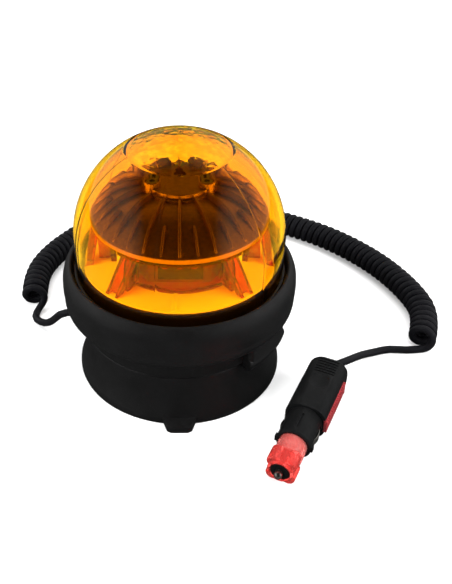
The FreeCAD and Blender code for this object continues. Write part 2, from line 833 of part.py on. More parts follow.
# ---------------------------------------------------------------- lead
def on_exit_axis(solid):
    """Turn a piece made along +Z from its origin to lie along the cable exit, from the axis outwards."""
    solid.rotate(ORIGIN, Vector(0, 1, 0), 90)
    solid.rotate(ORIGIN, Z, exit_azimuth - 90)
    solid.translate(Vector(0, 0, exit_height))
    return solid


def cable_grommet():
    wall_inside = skirt_top_radius - wall - 3.2
    bore = wire_radius + FIT
    return on_exit_axis(turned([
        (bore, wall_inside), (grommet_hole_radius - FIT, wall_inside), (grommet_hole_radius - FIT, cable_boss_reach),
        (grommet_flange_radius, cable_boss_reach), (grommet_flange_radius, cable_boss_reach + grommet_flange),
        (bore + 1.2, cable_boss_reach + grommet_reach), (bore, cable_boss_reach + grommet_reach),
    ]))


def inner_lead():
    start = spot(cable_boss_reach, exit_azimuth, exit_height)
    bend = driver_radius - 4 * wire_radius
    points = [start, spot(bend, exit_azimuth, exit_height), spot(bend, exit_azimuth, board_level)]
    return tube("inner lead", points, wire_radius)


def base_lead_points():
    start = spot(cable_boss_reach, exit_azimuth, exit_height)
    return [start, spot(cable_boss_reach + 4 * wire_radius, exit_azimuth, exit_height)] + base_route


def coil_points():
    return [Vector(x, y, coil_radius) for x, y in coil_route]


def plug_lead_points():
    return plug_route + [in_plug(Vector(-4, 0, 0)), in_plug(Vector(4, 0, 0))]


# ---------------------------------------------------------------- plug
# Plug pieces are made along +X from the rear of the body, then laid at their place.
def in_plug(point):
    """Where a point of the plug's own frame lies in the model."""
    a = math.radians(plug_heading)
    x = point.x * math.cos(a) - point.y * math.sin(a)
    y = point.x * math.sin(a) + point.y * math.cos(a)
    return Vector(plug_rear.x + x, plug_rear.y + y, body_height / 2 + point.z)


def laid(solid):
    solid.rotate(ORIGIN, Z, plug_heading)
    solid.translate(in_plug(Vector(0, 0, 0)))
    return solid


def lathe(points):
    """Solid of revolution about the plug's axis: points are (radius, distance from the rear)."""
    solid = turned(points)
    solid.rotate(ORIGIN, Vector(0, 1, 0), 90)
    return solid


def rounded(width, height, corner, start, end):
    """Bar with rounded long edges along the plug's axis."""
    block = bar(Vector(start, -width / 2, -height / 2), Vector(end, width / 2, height / 2))
    edges = [edge for edge in block.Edges if edge.BoundBox.XLength > (end - start) * 0.9]
    return block.makeFillet(corner, edges)


barrel_start = body_length
barrel_end = body_length + barrel_length
nose_end = barrel_end + nose_reach
neck_start = barrel_end - neck_insert
head_start = barrel_end + neck_reach
contact_middle = barrel_start + 3.0 + contact_length / 2


def body_block():
    """Outside of the plug's body, with its rounded rear."""
    block = rounded(body_width, body_height, body_corner, 0, body_length)
    rear = [edge for edge in block.Edges if edge.BoundBox.XMax < 0.01]
    return block.makeFillet(3.5, rear)


def body_hollow():
    room = rounded(body_width - 2 * body_wall, body_height - 2 * body_wall, body_corner - body_wall, body_wall + 3,
                   body_length - spigot_length - 1)
    mouth = lathe([(0, body_length - spigot_length - 2), (barrel_radius - 1.2, body_length - spigot_length - 2),
                   (barrel_radius - 1.2, body_length + 1), (0, body_length + 1)])
    entry = lathe([(0, -1), (wire_radius + FIT, -1), (wire_radius + FIT, 9), (0, 9)])
    return room.fuse([mouth, entry])


def strip_seat_block():
    low = Vector(body_length - strip_length, body_width / 2 - strip_seat, -strip_height / 2 - FIT)
    return bar(low, Vector(body_length + 1, body_width, strip_height / 2 + FIT))


def plug_shell(upper):
    side = 1 if upper else -1
    low = min(0, side * body_height)
    half = bar(Vector(-1, -body_width, low), Vector(body_length + 1, body_width, low + body_height))
    shell = body_block().cut([body_hollow(), strip_seat_block()]).fuse(screw_tower()).common(half)
    shell = shell.cut(screw_room())
    if upper:
        top = body_height / 2
        grooves = []
        for index in range(grip_ribs):
            x = 3.6 + index * grip_pitch
            grooves.append(bar(Vector(x, -6.5, top - grip_depth), Vector(x + grip_pitch * 0.5, 6.5, top + 1)))
        dimple = Part.makeSphere(16.0, Vector(24.0, 0, top + 14.6))
        shell = shell.cut(grooves + [dimple])
    return laid(shell.removeSplitter())


def screw_at(z):
    return Vector(16.0, -6.2, z)


def screw_tower():
    """Post that both shells share round their screw."""
    return rod(plug_screw_radius + 2.2, screw_at(-body_height / 2), Z, body_height).common(body_block())


def screw_room():
    """Space for the screw, open at the underside."""
    head = rod(plug_head_radius + FIT, screw_at(-body_height), Z, body_height + plug_head_low + plug_head_height)
    shank = rod(plug_screw_radius + RUN, screw_at(-body_height / 2), Z, body_height / 2 + plug_screw_reach)
    return head.fuse(shank)


def plug_side_strip():
    """Ribbed red strip let into the right side of the body."""
    rear = body_length - strip_length + FIT
    inner = body_width / 2 - strip_seat
    outer = body_width / 2 + strip_reach
    block = bar(Vector(rear, inner, -strip_height / 2), Vector(body_length, outer, strip_height / 2))
    far = [edge for edge in block.Edges if edge.BoundBox.YMin > outer - 0.01]
    block = block.makeFillet(1.2, far)
    pitch = (strip_length - 3.0) / strip_ribs
    cuts = []
    for index in range(strip_ribs):
        x = rear + 1.8 + index * pitch
        cuts.append(bar(Vector(x, outer - 0.6, -strip_height), Vector(x + pitch * 0.45, outer + 1, strip_height)))
    return laid(block.cut(cuts))


def contact_slot(side):
    half = contact_width / 2 + AIR
    return bar(Vector(contact_middle - contact_length / 2 - AIR, min(0, side * 20), -half),
               Vector(contact_middle + contact_length / 2 + AIR, max(0, side * 20), half))


def plug_barrel():
    inner = barrel_radius - barrel_wall
    body = lathe([
        (inner - 0.8, barrel_start - spigot_length), (barrel_radius - 1.3, barrel_start - spigot_length),
        (barrel_radius - 1.3, barrel_start), (barrel_radius, barrel_start),
        (barrel_radius, barrel_end - 1.0), (barrel_radius - 0.8, barrel_end), (inner, barrel_end),
        (inner, barrel_start), (inner - 0.8, barrel_start),
    ])
    ears = [bar(Vector(barrel_end - 3.5, min(side * 9, side * 11.3), -1.8),
                Vector(barrel_end - 0.6, max(side * 9, side * 11.3), 1.8)) for side in (-1, 1)]
    groove = bar(Vector(barrel_start + 5, -0.7, barrel_radius - 0.8), Vector(barrel_end - 4, 0.7, barrel_radius + 1))
    return laid(body.fuse(ears).cut([contact_slot(-1), contact_slot(1), groove]))


def din_nose():
    bore = nose_radius - nose_wall
    seat = barrel_radius - barrel_wall - FIT
    return laid(lathe([
        (bore, barrel_start), (seat, barrel_start), (seat, barrel_start + 2.0),
        (nose_radius, barrel_start + 2.0), (nose_radius, nose_end - 0.8), (nose_radius - 0.8, nose_end),
        (tip_radius + RUN, nose_end), (tip_radius + RUN, nose_end - 1.6), (bore, nose_end - 1.6),
    ]))


def adapter_sleeve():
    """Red sleeve over the nose: a neck in the barrel and a lobed head that fills a 21 mm socket."""
    bore = nose_radius + RUN
    neck = bore + neck_wall
    end = head_start + head_length
    body = lathe([
        (bore, neck_start), (neck, neck_start), (neck, head_start), (head_core, head_start + 1.2),
        (head_core, end - 0.8), (head_core - 0.8, end), (bore, end),
    ])
    lobes = []
    for index in range(lobe_count):
        a = math.radians(45 + index * 360.0 / lobe_count)
        centre = Vector(head_start, lobe_circle * math.cos(a), lobe_circle * math.sin(a))
        lobe = rod(lobe_radius, centre, Vector(1, 0, 0), head_length - 1.0)
        lobes.append(lobe.makeFillet(1.2, [edge for edge in lobe.Edges if edge.Length > 2 * lobe_radius * 3]))
    hole = lathe([(0, neck_start - 1), (bore, neck_start - 1), (bore, end + 1), (0, end + 1)])
    return laid(body.fuse(lobes).cut(hole).removeSplitter())


def centre_contact():
    back = nose_end - 1.6 - tip_collar
    tip = nose_end + tip_reach
    return laid(lathe([
        (0, back - 2.0), (1.4, back - 2.0), (1.4, back), (tip_collar_radius, back), (tip_collar_radius, back + tip_collar),
        (tip_radius, back + tip_collar), (tip_radius, tip - tip_radius),
        ((tip_radius * math.sin(math.radians(45)), tip - tip_radius * (1 - math.cos(math.radians(45)))), (0, tip)),
    ]))


def contact_spring():
    back = nose_end - 1.6 - tip_collar
    return laid(lathe(ring(1.4 + AIR, tip_collar_radius, back - spring_length, back)))


def fuse():
    end = nose_end - 1.6 - tip_collar - spring_length
    start = end - fuse_length
    return laid(lathe([(0, start), (fuse_radius, start), (fuse_radius, start + 5), (fuse_radius - 0.4, start + 5),
                       (fuse_radius - 0.4, end - 5), (fuse_radius, end - 5), (fuse_radius, end), (0, end)]))


def fuse_contact():
    """Brass cup that takes the fuse's rear end, seated in the nose."""
    start = nose_end - 1.6 - tip_collar - spring_length - fuse_length
    return laid(lathe([(0, barrel_start - 3), (2.0, barrel_start - 3), (2.0, barrel_start - 1.0), (5.5, barrel_start - 1.0),
                       (5.5, barrel_start), (fuse_radius, barrel_start), (fuse_radius, start), (0, start)]))


def side_contact(side):
    """Bowed leaf contact that stands out of its slot in the barrel."""
    rest = barrel_radius - 1.4
    top = rest + contact_bow
    start = contact_middle - contact_length / 2
    end = contact_middle + contact_length / 2
    outer = [Vector(start, rest, 0), Vector(contact_middle, top, 0), Vector(end, rest, 0)]
    inner = [point - Vector(0, contact_thickness, 0) for point in outer]
    wire = Part.Wire([
        Part.Arc(*outer).toShape(), Part.LineSegment(outer[2], inner[2]).toShape(),
        Part.Arc(inner[2], inner[1], inner[0]).toShape(), Part.LineSegment(inner[0], outer[0]).toShape(),
    ])
    leaf = Part.Face(wire)
    leaf.translate(Vector(0, 0, -contact_width / 2))
    leaf = leaf.extrude(Vector(0, 0, contact_width))
    if side < 0:
        leaf.rotate(ORIGIN, Vector(1, 0, 0), 180)
    return laid(leaf)


def plug_screw():
    """Slotted screw up through the lower shell into the upper one."""
    head = rod(plug_head_radius, screw_at(plug_head_low), Z, plug_head_height)
    shank = rod(plug_screw_radius, screw_at(plug_head_low), Z, plug_screw_reach - plug_head_low - 0.5)
    middle = screw_at(plug_head_low)
    slot = bar(middle - Vector(4, 0.4, 1), middle + Vector(4, 0.4, 0.8))
    return laid(head.fuse(shank).cut(slot))


# ---------------------------------------------------------------- every piece, one file each
def pieces():
    return {
        "foot_cup": foot_cup(),
        "magnet_carrier": magnet_carrier(),
        "magnet_pot": magnet_pot(),
        "ring_magnet": ring_magnet(),
        "foot_washer": foot_washer(),
        "foot_nut": foot_nut(),
        "base_housing": base_housing(),
        "rubber_collar": rubber_collar(),
        "lens_seal": lens_seal(),
        "cable_grommet": cable_grommet(),
        "inner_lead": inner_lead(),
        "driver_board": driver_board(),
        "board_parts": board_parts(),
        "board_screws": board_screws(),
        "lens": lens(),
        "deck_plate": deck_plate(),
        "optic_front": optic(light_azimuths[0]),
        "optic_rear_right": optic(light_azimuths[1]),
        "optic_rear_left": optic(light_azimuths[2]),
        "led_boards": led_boards(),
        "led_chips": led_chips(),
        "led_leads": led_leads(),
        "heat_sink": heat_sink(),
        "sink_screws": sink_screws(),
        "cord_base_lead": tube("base lead", base_lead_points(), wire_radius),
        "cord_coil": tube("coil", coil_points(), coil_radius),
        "cord_plug_lead": tube("plug lead", plug_lead_points(), wire_radius),
        "plug_shell_upper": plug_shell(True),
        "plug_shell_lower": plug_shell(False),
        "plug_side_strip": plug_side_strip(),
        "plug_barrel": plug_barrel(),
        "din_nose": din_nose(),
        "adapter_sleeve": adapter_sleeve(),
        "centre_contact": centre_contact(),
        "contact_spring": contact_spring(),
        "fuse": fuse(),
        "fuse_contact": fuse_contact(),
        "side_contact_left": side_contact(-1),
        "side_contact_right": side_contact(1),
        "plug_screw": plug_screw(),
    }


os.makedirs("parts", exist_ok=True)
for name, shape in pieces().items():
    if not shape.isValid():
        print("NOT VALID", name)
    box = shape.BoundBox
    print(name, len(shape.Solids), "solids", round(shape.Volume), "mm3", [round(v, 1) for v in (
        box.XMin, box.YMin, box.ZMin, box.XMax, box.YMax, box.ZMax)])
    shape.exportStep("parts/" + name + ".step")
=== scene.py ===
"""Looks of an amber LED beacon with a magnet foot, a curly lead and a universal 12 V plug.

Everything is in metres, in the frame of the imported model: +Z up, -Y to the front, +X to the right.
"""
import json
import math

import bmesh
import bpy
from mathutils import Matrix, Vector


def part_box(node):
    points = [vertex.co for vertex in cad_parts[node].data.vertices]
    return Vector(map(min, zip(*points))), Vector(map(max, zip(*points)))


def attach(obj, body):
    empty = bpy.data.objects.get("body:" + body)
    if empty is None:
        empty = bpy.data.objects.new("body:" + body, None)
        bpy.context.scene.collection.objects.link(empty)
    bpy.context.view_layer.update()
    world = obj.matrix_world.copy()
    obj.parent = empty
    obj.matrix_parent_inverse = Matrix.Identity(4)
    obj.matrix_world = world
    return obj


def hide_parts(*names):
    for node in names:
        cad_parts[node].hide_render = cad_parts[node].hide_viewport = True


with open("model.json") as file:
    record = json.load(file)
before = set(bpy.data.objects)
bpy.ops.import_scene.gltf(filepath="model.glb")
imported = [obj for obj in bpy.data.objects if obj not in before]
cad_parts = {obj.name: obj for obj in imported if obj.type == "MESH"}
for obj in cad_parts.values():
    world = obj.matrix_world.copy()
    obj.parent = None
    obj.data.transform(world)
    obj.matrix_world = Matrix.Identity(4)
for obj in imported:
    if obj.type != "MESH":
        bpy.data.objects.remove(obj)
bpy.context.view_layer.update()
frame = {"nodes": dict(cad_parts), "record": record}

bl_info = {
    "name": "Amber Beacon",
    "version": (1, 0, 0),
    "blender": (4, 5, 0),
    "location": "View3D > Sidebar > Beacon",
    "description": "Dresses the beacon's frame with its lens, light head, foot, curly lead and plug",
    "category": "Object",
}

MM = 0.001
TAU = 2 * math.pi

# Angles in degrees: edges sharper than the first two are rounded, and smooth shading stops at the third.
SOLID_EDGE = 32.0
MADE_EDGE = 30.0
SHADE_EDGE = 50.0

# The lead's route, the same points as the solids follow, in millimetres.
BASE_LEAD = [
    (-62.36, -5.46, 39.5), (-72.72, -6.36, 39.5), (-79.5, 6, 26), (-88, 20, 9), (-96, 29, 2.7),
    (-101, 35.5, 2.6), (-98.5, 44, 3.4), (-95.0, 50.5, 7.5),
]
COIL_ROUTE = [
    (-101.5, 47), (-104.6, 72), (-98, 98), (-82, 124), (-52, 158), (-10, 176), (36, 170), (80, 148.5),
    (117, 125), (148, 89.5), (165.5, 51), (168, 24), (158.5, 0.5),
]
PLUG_LEAD = [
    (158.5, 1.0, 2.6), (149, -0.2, 2.6), (138.5, 1.5, 2.6), (127, -2.5, 2.7), (118, -7.5, 5.0),
    (108.5, -17.4, 9.6),
]
PLUG_REAR = Vector((93.5, -29.6, 11.6)) * MM
PLUG_HEADING = math.radians(244.3)
PLUG_ALONG = Vector((math.cos(PLUG_HEADING), math.sin(PLUG_HEADING), 0.0))
NECK_END = 79.0 * MM           # where the milky neck of the red sleeve ends, from the plug's rear
HEAD_AIR = 0.3 * MM            # round a screw's head in its pocket


# ---------------------------------------------------------------- settings
def length_setting(name, description, metres):
    return bpy.props.FloatProperty(name=name, description=description, default=metres, unit="LENGTH")


def angle_setting(name, description, degrees):
    return bpy.props.FloatProperty(
        name=name, description=description, default=math.radians(degrees), unit="ROTATION")


def colour_setting(name, description, colour):
    return bpy.props.FloatVectorProperty(name=name, description=description, default=colour, subtype="COLOR")


def factor_setting(name, description, value):
    return bpy.props.FloatProperty(name=name, description=description, default=value)


def count_setting(name, description, count, least):
    return bpy.props.IntProperty(name=name, description=description, default=count, min=least)


class BeaconStageSettings(bpy.types.PropertyGroup):
    """Camera, lamps and floor."""
    camera_height: length_setting("Camera height", "Height of the camera above the floor", 0.3528)
    camera_distance: length_setting(
        "Camera distance", "Distance of the camera in front of the foot", 0.4015)
    camera_tilt: angle_setting("Camera tilt", "How far the camera looks down", 36.97)
    focal_length: factor_setting("Focal length", "Focal length on a 36 mm sensor", 49.61)
    side_shift: factor_setting(
        "Side shift", "Sideways shift of the lens, so that the beacon stands left", 0.0796)
    key_power: factor_setting("Key power", "Power of the overhead soft box in watts", 28.0)
    side_power: factor_setting("Side power", "Power of each side soft box in watts", 29.0)
    surround: factor_setting("Surround", "Brightness of the white surround", 0.42)
    floor_colour: colour_setting("Floor colour", "Pale floor", (0.5, 0.5, 0.5))
    floor_glow: factor_setting("Floor white", "White that the camera sees on top of the lit floor", 0.3)
    floor_mirror: factor_setting(
        "Floor in reflections", "Share of its colour that the floor keeps in reflections", 0.04)


class BeaconLensSettings(bpy.types.PropertyGroup):
    """Amber dome."""
    tint: colour_setting("Tint", "Colour of light that has passed one wall", (1.0, 0.54, 0.008))
    wall: length_setting("Wall", "Wall thickness", 0.003)
    bead_reach: length_setting("Bead reach", "How far the bead stands out of the skirt", 0.0016)
    bead_height: length_setting("Bead height", "Height of the bead", 0.0032)
    bead_low: length_setting("Bead level", "Height of the bead above the skirt's end", 0.0012)
    cap_radius: length_setting("Cap radius", "Radius of the fine groove round the top", 0.0285)
    cap_groove: length_setting("Cap groove", "Depth of that groove", 0.00012)
    lug_depth: length_setting("Lug depth", "How far a bayonet lug stands in", 0.0017)
    lug_height: length_setting("Lug height", "Height of a bayonet lug", 0.0028)
    lug_low: length_setting("Lug level", "Height of the lugs above the skirt's end", 0.0003)
    ridge_count: count_setting("Ridges", "Ridges round the dome", 6, 0)
    ridge_height: length_setting("Ridge height", "How far a ridge stands out", 0.00008)
    ridge_half_angle: angle_setting("Ridge half width", "Half the width of a ridge", 0.28)
    ridge_azimuth: angle_setting("First ridge", "Azimuth of the first ridge", -12)


class BeaconSinkSettings(bpy.types.PropertyGroup):
    """Ribbed heat sink under the dome."""
    rim_level: length_setting("Rim level", "Height of the rim's underside", 0.1075)
    rim_height: length_setting("Rim height", "Height of the rim", 0.0032)
    rise: length_setting("Rise", "From the rim's top to the hub's foot", 0.0165)
    thickness: length_setting("Thickness", "Thickness of the umbrella", 0.0026)
    hub_radius: length_setting("Hub radius", "Radius of the flat hub", 0.02)
    hub_height: length_setting("Hub height", "Height of the hub", 0.004)
    step: length_setting("Foot step", "Width of the low step round the hub", 0.0016)
    core: length_setting("Core", "Half the width over flats of the hexagonal core", 0.03)
    ribs: count_setting("Ribs", "Long and short ribs together", 32, 2)
    rib_thickness: length_setting("Rib thickness", "Thickness of a rib", 0.0015)
    rib_rise: length_setting("Rib rise", "How far a rib stands on the umbrella", 0.0038)
    short_start: length_setting("Short ribs", "Radius where the short ribs start", 0.038)
    screw_circle: length_setting("Screw circle", "Radius of the circle through the screws", 0.0174)
    boss_radius: length_setting("Boss radius", "Radius of a screw boss", 0.0046)
    boss_height: length_setting("Boss height", "How far a front boss stands above the hub", 0.003)
    head_radius: length_setting("Head radius", "Radius of a screw's head", 0.0034)
    pocket: length_setting("Pocket", "Depth of the pocket round a screw's head", 0.0026)


class BeaconStripSettings(bpy.types.PropertyGroup):
    """Red strip on the plug's side, measured from the plug's rear and from its middle."""
    rear: length_setting("Rear", "Where the strip starts", 0.0106)
    front: length_setting("Front", "Where the strip ends", 0.0475)
    inner: length_setting("Inner face", "Distance of its seat from the plug's middle", 0.01105)
    outer: length_setting("Outer face", "Distance of its face from the plug's middle", 0.01345)
    height: length_setting("Height", "Height of the strip", 0.009)
    rib_depth: length_setting("Rib depth", "Depth between the ribs", 0.001)
    ribs: count_setting("Ribs", "Number of ribs", 17, 1)


class BeaconLeadSettings(bpy.types.PropertyGroup):
    """Curly lead."""
    wire_diameter: length_setting("Wire", "Diameter of the jacket", 0.005)
    coil_radius: length_setting("Coil radius", "Radius of the turns, at the middle of the wire", 0.0069)
    closed_pitch: length_setting("Pitch", "Least distance between neighbouring turns", 0.00512)
    points_per_turn: count_setting("Points a turn", "Control points on each turn", 14, 12)
    jacket: colour_setting("Jacket", "Colour of the jacket", (0.002, 0.002, 0.0026))


class BeaconLampSettings(bpy.types.PropertyGroup):
    """Lamp chips on the boards."""
    chip_size: length_setting("Chip size", "Width of a lamp chip", 0.0046)
    chip_height: length_setting("Chip height", "Height of a lamp chip on its board", 0.0016)
    chip_pitch: length_setting("Chip pitch", "Distance between the chips in a row", 0.008)
    chips: count_setting("Chips", "Chips on a board", 3, 1)


class BeaconFinishSettings(bpy.types.PropertyGroup):
    """Colours of the plastics, rubbers and metals."""
    rubber: colour_setting("Rubber", "Foot and collar", (0.0005, 0.0005, 0.00055))
    housing: colour_setting("Housing", "Moulded base", (0.0007, 0.0007, 0.00075))
    sink: colour_setting("Heat sink", "Dark metallic casting", (0.72, 0.5, 0.42))
    window: colour_setting("Windows", "Clear plastic of the windows and legs", (0.62, 0.07, 0.035))
    deck: colour_setting("Deck", "White reflecting deck", (0.86, 0.86, 0.84))
    plug: colour_setting("Plug", "Black plug mouldings", (0.0016, 0.0017, 0.0018))
    red_clear: colour_setting("Red sleeve", "See-through red sleeve", (0.72, 0.05, 0.04))
    red_solid: colour_setting("Red strip", "Red ribbed strip", (0.14, 0.011, 0.013))


# ---------------------------------------------------------------- mesh helpers
def link_mesh(name, mesh):
    """New object at the origin for a finished mesh."""
    piece = bpy.data.objects.new(name, mesh)
    bpy.context.scene.collection.objects.link(piece)
    return piece


def mesh_from(name, points, faces, smooth=True):
    mesh = bpy.data.meshes.new(name)
    mesh.from_pydata([tuple(point) for point in points], [], faces)
    mesh.validate()
    for face in mesh.polygons:
        face.use_smooth = smooth
    return link_mesh(name, mesh)


def outward(piece):
    """Turns every face of a closed mesh outwards."""
    work = bmesh.new()
    work.from_mesh(piece.data)
    bmesh.ops.remove_doubles(work, verts=work.verts, dist=1e-7)
    bmesh.ops.recalc_face_normals(work, faces=work.faces)
    work.to_mesh(piece.data)
    work.free()


def crease_by_angle(mesh, degrees):
    """Marks edges sharper than an angle, so that smooth shading stops at them."""
    work = bmesh.new()
    work.from_mesh(mesh)
    limit = math.radians(degrees)
    for face in work.faces:
        face.smooth = True
    for edge in work.edges:
        edge.smooth = len(edge.link_faces) == 2 and edge.calc_face_angle(0) < limit
    work.to_mesh(mesh)
    work.free()


def baked(piece):
    """Replaces a piece's live modifiers by the mesh that they give."""
    graph = bpy.context.evaluated_depsgraph_get()
    mesh = bpy.data.meshes.new_from_object(piece.evaluated_get(graph))
    old = piece.data
    piece.modifiers.clear()
    piece.data = mesh
    mesh.name = piece.name
    if old.users == 0:
        bpy.data.meshes.remove(old)
    return piece


def rounded_copy(node, name, width):
    """Clean copy of a node's mesh with its sharp edges rounded."""
    mesh = frame["nodes"][node].data.copy()
    mesh.name = name
    mesh.materials.clear()
    work = bmesh.new()
    work.from_mesh(mesh)
    bmesh.ops.remove_doubles(work, verts=work.verts, dist=2e-6)
    bmesh.ops.dissolve_limit(work, angle_limit=math.radians(0.5), use_dissolve_boundaries=False,
                             verts=work.verts, edges=work.edges, delimit=set())
    work.to_mesh(mesh)
    work.free()
    crease_by_angle(mesh, SOLID_EDGE)
    return softened(link_mesh(name, mesh), width, SOLID_EDGE, "MITER_ARC")


def softened(piece, width, limit=MADE_EDGE, corners="MITER_SHARP"):
    """Rounds the edges of a piece that are sharper than a limit in degrees."""
    bevel = piece.modifiers.new("rounding", "BEVEL")
    bevel.width = width
    bevel.segments = 2
    bevel.limit_method = "ANGLE"
    bevel.angle_limit = math.radians(limit)
    bevel.miter_outer = corners
    baked(piece)
    crease_by_angle(piece.data, SHADE_EDGE)
    return piece


def spaced(first, last, count):
    """Even steps from the first value to the last, both of them included."""
    return [first + (last - first) * index / count for index in range(count + 1)]


def evenly(count):
    """Angles of so many even steps round a full turn."""
    return [TAU * index / count for index in range(count)]


def apart(first, second):
    """Angle between two azimuths, half a turn at most."""
    return abs((first - second + math.pi) % TAU - math.pi)


def azimuths_with(base_step, special, offsets):
    """Angles round a full turn, even ones plus close ones at each special place."""
    clear = max(offsets) * 1.6
    angles = []
    for angle in evenly(max(3, round(TAU / base_step))):
        if all(apart(angle, place) > clear for place in special):
            angles.append(angle)
    for place in special:
        angles += [(place + offset) % TAU for offset in offsets]
    return sorted(angles)


def lathe(name, profile, angles, shift=None):
    """Closed ring of a closed profile of (radius, height). Azimuth 0 is the front, radius 0 a pole."""
    points = []
    rows = []
    for radius, height in profile:
        if radius < 1e-9:
            points.append((0.0, 0.0, height))
            rows.append([len(points) - 1] * len(angles))
            continue
        row = []
        for angle in angles:
            reach = radius + (shift(radius, height, angle) if shift else 0.0)
            points.append((reach * math.sin(angle), -reach * math.cos(angle), height))
            row.append(len(points) - 1)
        rows.append(row)
    faces = []
    for first, second in zip(rows, rows[1:] + rows[:1]):
        for here in range(len(angles)):
            there = (here + 1) % len(angles)
            corners = [first[here], first[there], second[there], second[here]]
            corners = list(dict.fromkeys(corners))
            if len(corners) > 2:
                faces.append(corners)
    piece = mesh_from(name, points, faces)
    outward(piece)
    return piece


def bar_faces(steps, corners):
    """Faces of a bar made of cross sections that follow one another, each with so many corners."""
    faces = [tuple(range(corners)), tuple(reversed(range(corners * steps, corners * (steps + 1))))]
    for start in range(0, corners * steps, corners):
        for corner in range(corners):
            after = (corner + 1) % corners
            faces.append((start + corner, start + after, start + corners + after, start + corners + corner))
    return faces


def arc_block(name, inner, outer, low, high, half_angle, soft=0.3 * MM, count=12):
    """Part of a ring at the front, with rounded edges."""
    points = []
    for angle in spaced(-half_angle, half_angle, count):
        for radius, height in ((inner, low), (outer, low), (outer, high), (inner, high)):
            points.append((radius * math.sin(angle), -radius * math.cos(angle), height))
    piece = mesh_from(name, points, bar_faces(count, 4))
    outward(piece)
    return softened(piece, soft)


def block(name, low, high, soft):
    """Box between two corners, with rounded edges."""
    points = [(x, y, z) for x in (low[0], high[0]) for y in (low[1], high[1]) for z in (low[2], high[2])]
    faces = [(0, 1, 3, 2), (4, 6, 7, 5), (0, 4, 5, 1), (2, 3, 7, 6), (0, 2, 6, 4), (1, 5, 7, 3)]
    piece = mesh_from(name, points, faces)
    outward(piece)
    return softened(piece, soft)


def laid(piece):
    """Turns a piece made along X into the plug's place and heading."""
    turn = Matrix.Rotation(PLUG_HEADING, 4, "Z")
    piece.data.transform(Matrix.Translation(PLUG_REAR) @ turn)
    return piece


def round_bar(name, radius, low, high, soft=0.2 * MM, count=32):
    """Upright rod on the axis, with rounded ends."""
    section = [(0.0, low), (radius - soft, low), (radius, low + soft), (radius, high - soft),
               (radius - soft, high), (0.0, high)]
    piece = lathe(name, section, evenly(count))
    crease_by_angle(piece.data, SHADE_EDGE)
    return piece


def shifted(piece, offset):
    """Moves the mesh, and leaves the object at the origin."""
    piece.data.transform(Matrix.Translation(offset))
    return piece


def merged(name, pieces):
    """One piece out of several, each kept as its own closed shell."""
    work = bmesh.new()
    for piece in pieces:
        work.from_mesh(piece.data)
        mesh = piece.data
        bpy.data.objects.remove(piece)
        bpy.data.meshes.remove(mesh)
    mesh = bpy.data.meshes.new(name)
    work.to_mesh(mesh)
    work.free()
    return link_mesh(name, mesh)


def cut_from(piece, cutters):
    """Cuts pieces out of a closed piece."""
    for cutter in cutters:
        boolean = piece.modifiers.new("cut", "BOOLEAN")
        boolean.object = cutter
        boolean.solver = "EXACT"
        bpy.context.view_layer.update()
        baked(piece)
        bpy.data.objects.remove(cutter)
    crease_by_angle(piece.data, SOLID_EDGE)
    return piece


def repeat_tree():
    """Geometry Nodes tree: copies of the piece's own mesh, each turned about Z and stepped from the last."""
    if "Repeat" in bpy.data.node_groups:
        return bpy.data.node_groups["Repeat"]
    tree = bpy.data.node_groups.new("Repeat", "GeometryNodeTree")
    tree.is_modifier = True
    tree.interface.new_socket("Geometry", in_out="INPUT", socket_type="NodeSocketGeometry")
    for label, kind, value in (("Count", "NodeSocketInt", 1), ("First Turn", "NodeSocketFloat", 0.0),
                               ("Turn", "NodeSocketFloat", 0.0),
                               ("Step", "NodeSocketVector", (0.0, 0.0, 0.0)),
                               ("Play", "NodeSocketFloat", 0.0), ("Seed", "NodeSocketInt", 7)):
        tree.interface.new_socket(label, in_out="INPUT", socket_type=kind).default_value = value
    tree.interface.new_socket("Finish", in_out="INPUT", socket_type="NodeSocketMaterial")
    tree.interface.new_socket("Geometry", in_out="OUTPUT", socket_type="NodeSocketGeometry")
    given = tree.nodes.new("NodeGroupInput").outputs
    result = tree.nodes.new("NodeGroupOutput").inputs
    index = tree.nodes.new("GeometryNodeInputIndex").outputs[0]
    place = put(tree, "ShaderNodeVectorMath", {"operation": "SCALE"}, i0=given["Step"], Scale=index)
    play = put(tree, "FunctionNodeRandomValue", {"data_type": "FLOAT"})
    low = math_node(tree, "MULTIPLY", given["Play"], -1.0)
    for socket, source in ((2, low), (3, given["Play"]), (8, given["Seed"])):
        tree.links.new(source, play.inputs[socket])
    turn = math_node(tree, "MULTIPLY", index, given["Turn"])
    turn = math_node(tree, "ADD", turn, given["First Turn"])
    turn = math_node(tree, "ADD", turn, play.outputs[1])
    points = put(tree, "GeometryNodePoints", Count=given["Count"], Position=place.outputs[0])
    way = put(tree, "FunctionNodeEulerToRotation", i0=put(tree, "ShaderNodeCombineXYZ", Z=turn).outputs[0])
    copies = put(tree, "GeometryNodeInstanceOnPoints", Points=points.outputs[0], Instance=given["Geometry"],
                 Rotation=way.outputs[0])
    solid = put(tree, "GeometryNodeRealizeInstances", Geometry=copies.outputs[0])
    coated = put(tree, "GeometryNodeSetMaterial", Geometry=solid.outputs[0], Material=given["Finish"])
    tree.links.new(coated.outputs[0], result["Geometry"])
    return tree


def repeated(piece, count, first=0.0, turn=0.0, step=(0.0, 0.0, 0.0), play=0.0, seed=7):
    """Turns a piece into a row or ring of copies of itself."""
    tree = repeat_tree()
    modifier = piece.modifiers.new("repeat", "NODES")
    modifier.node_group = tree
    values = {"Count": count, "First Turn": first, "Turn": turn, "Step": step, "Play": play, "Seed": seed,
              "Finish": piece.data.materials[0] if piece.data.materials else None}
    for item in tree.interface.items_tree:
        if item.in_out == "INPUT" and item.name in values:
            modifier[item.identifier] = values[item.name]
    return baked(piece)


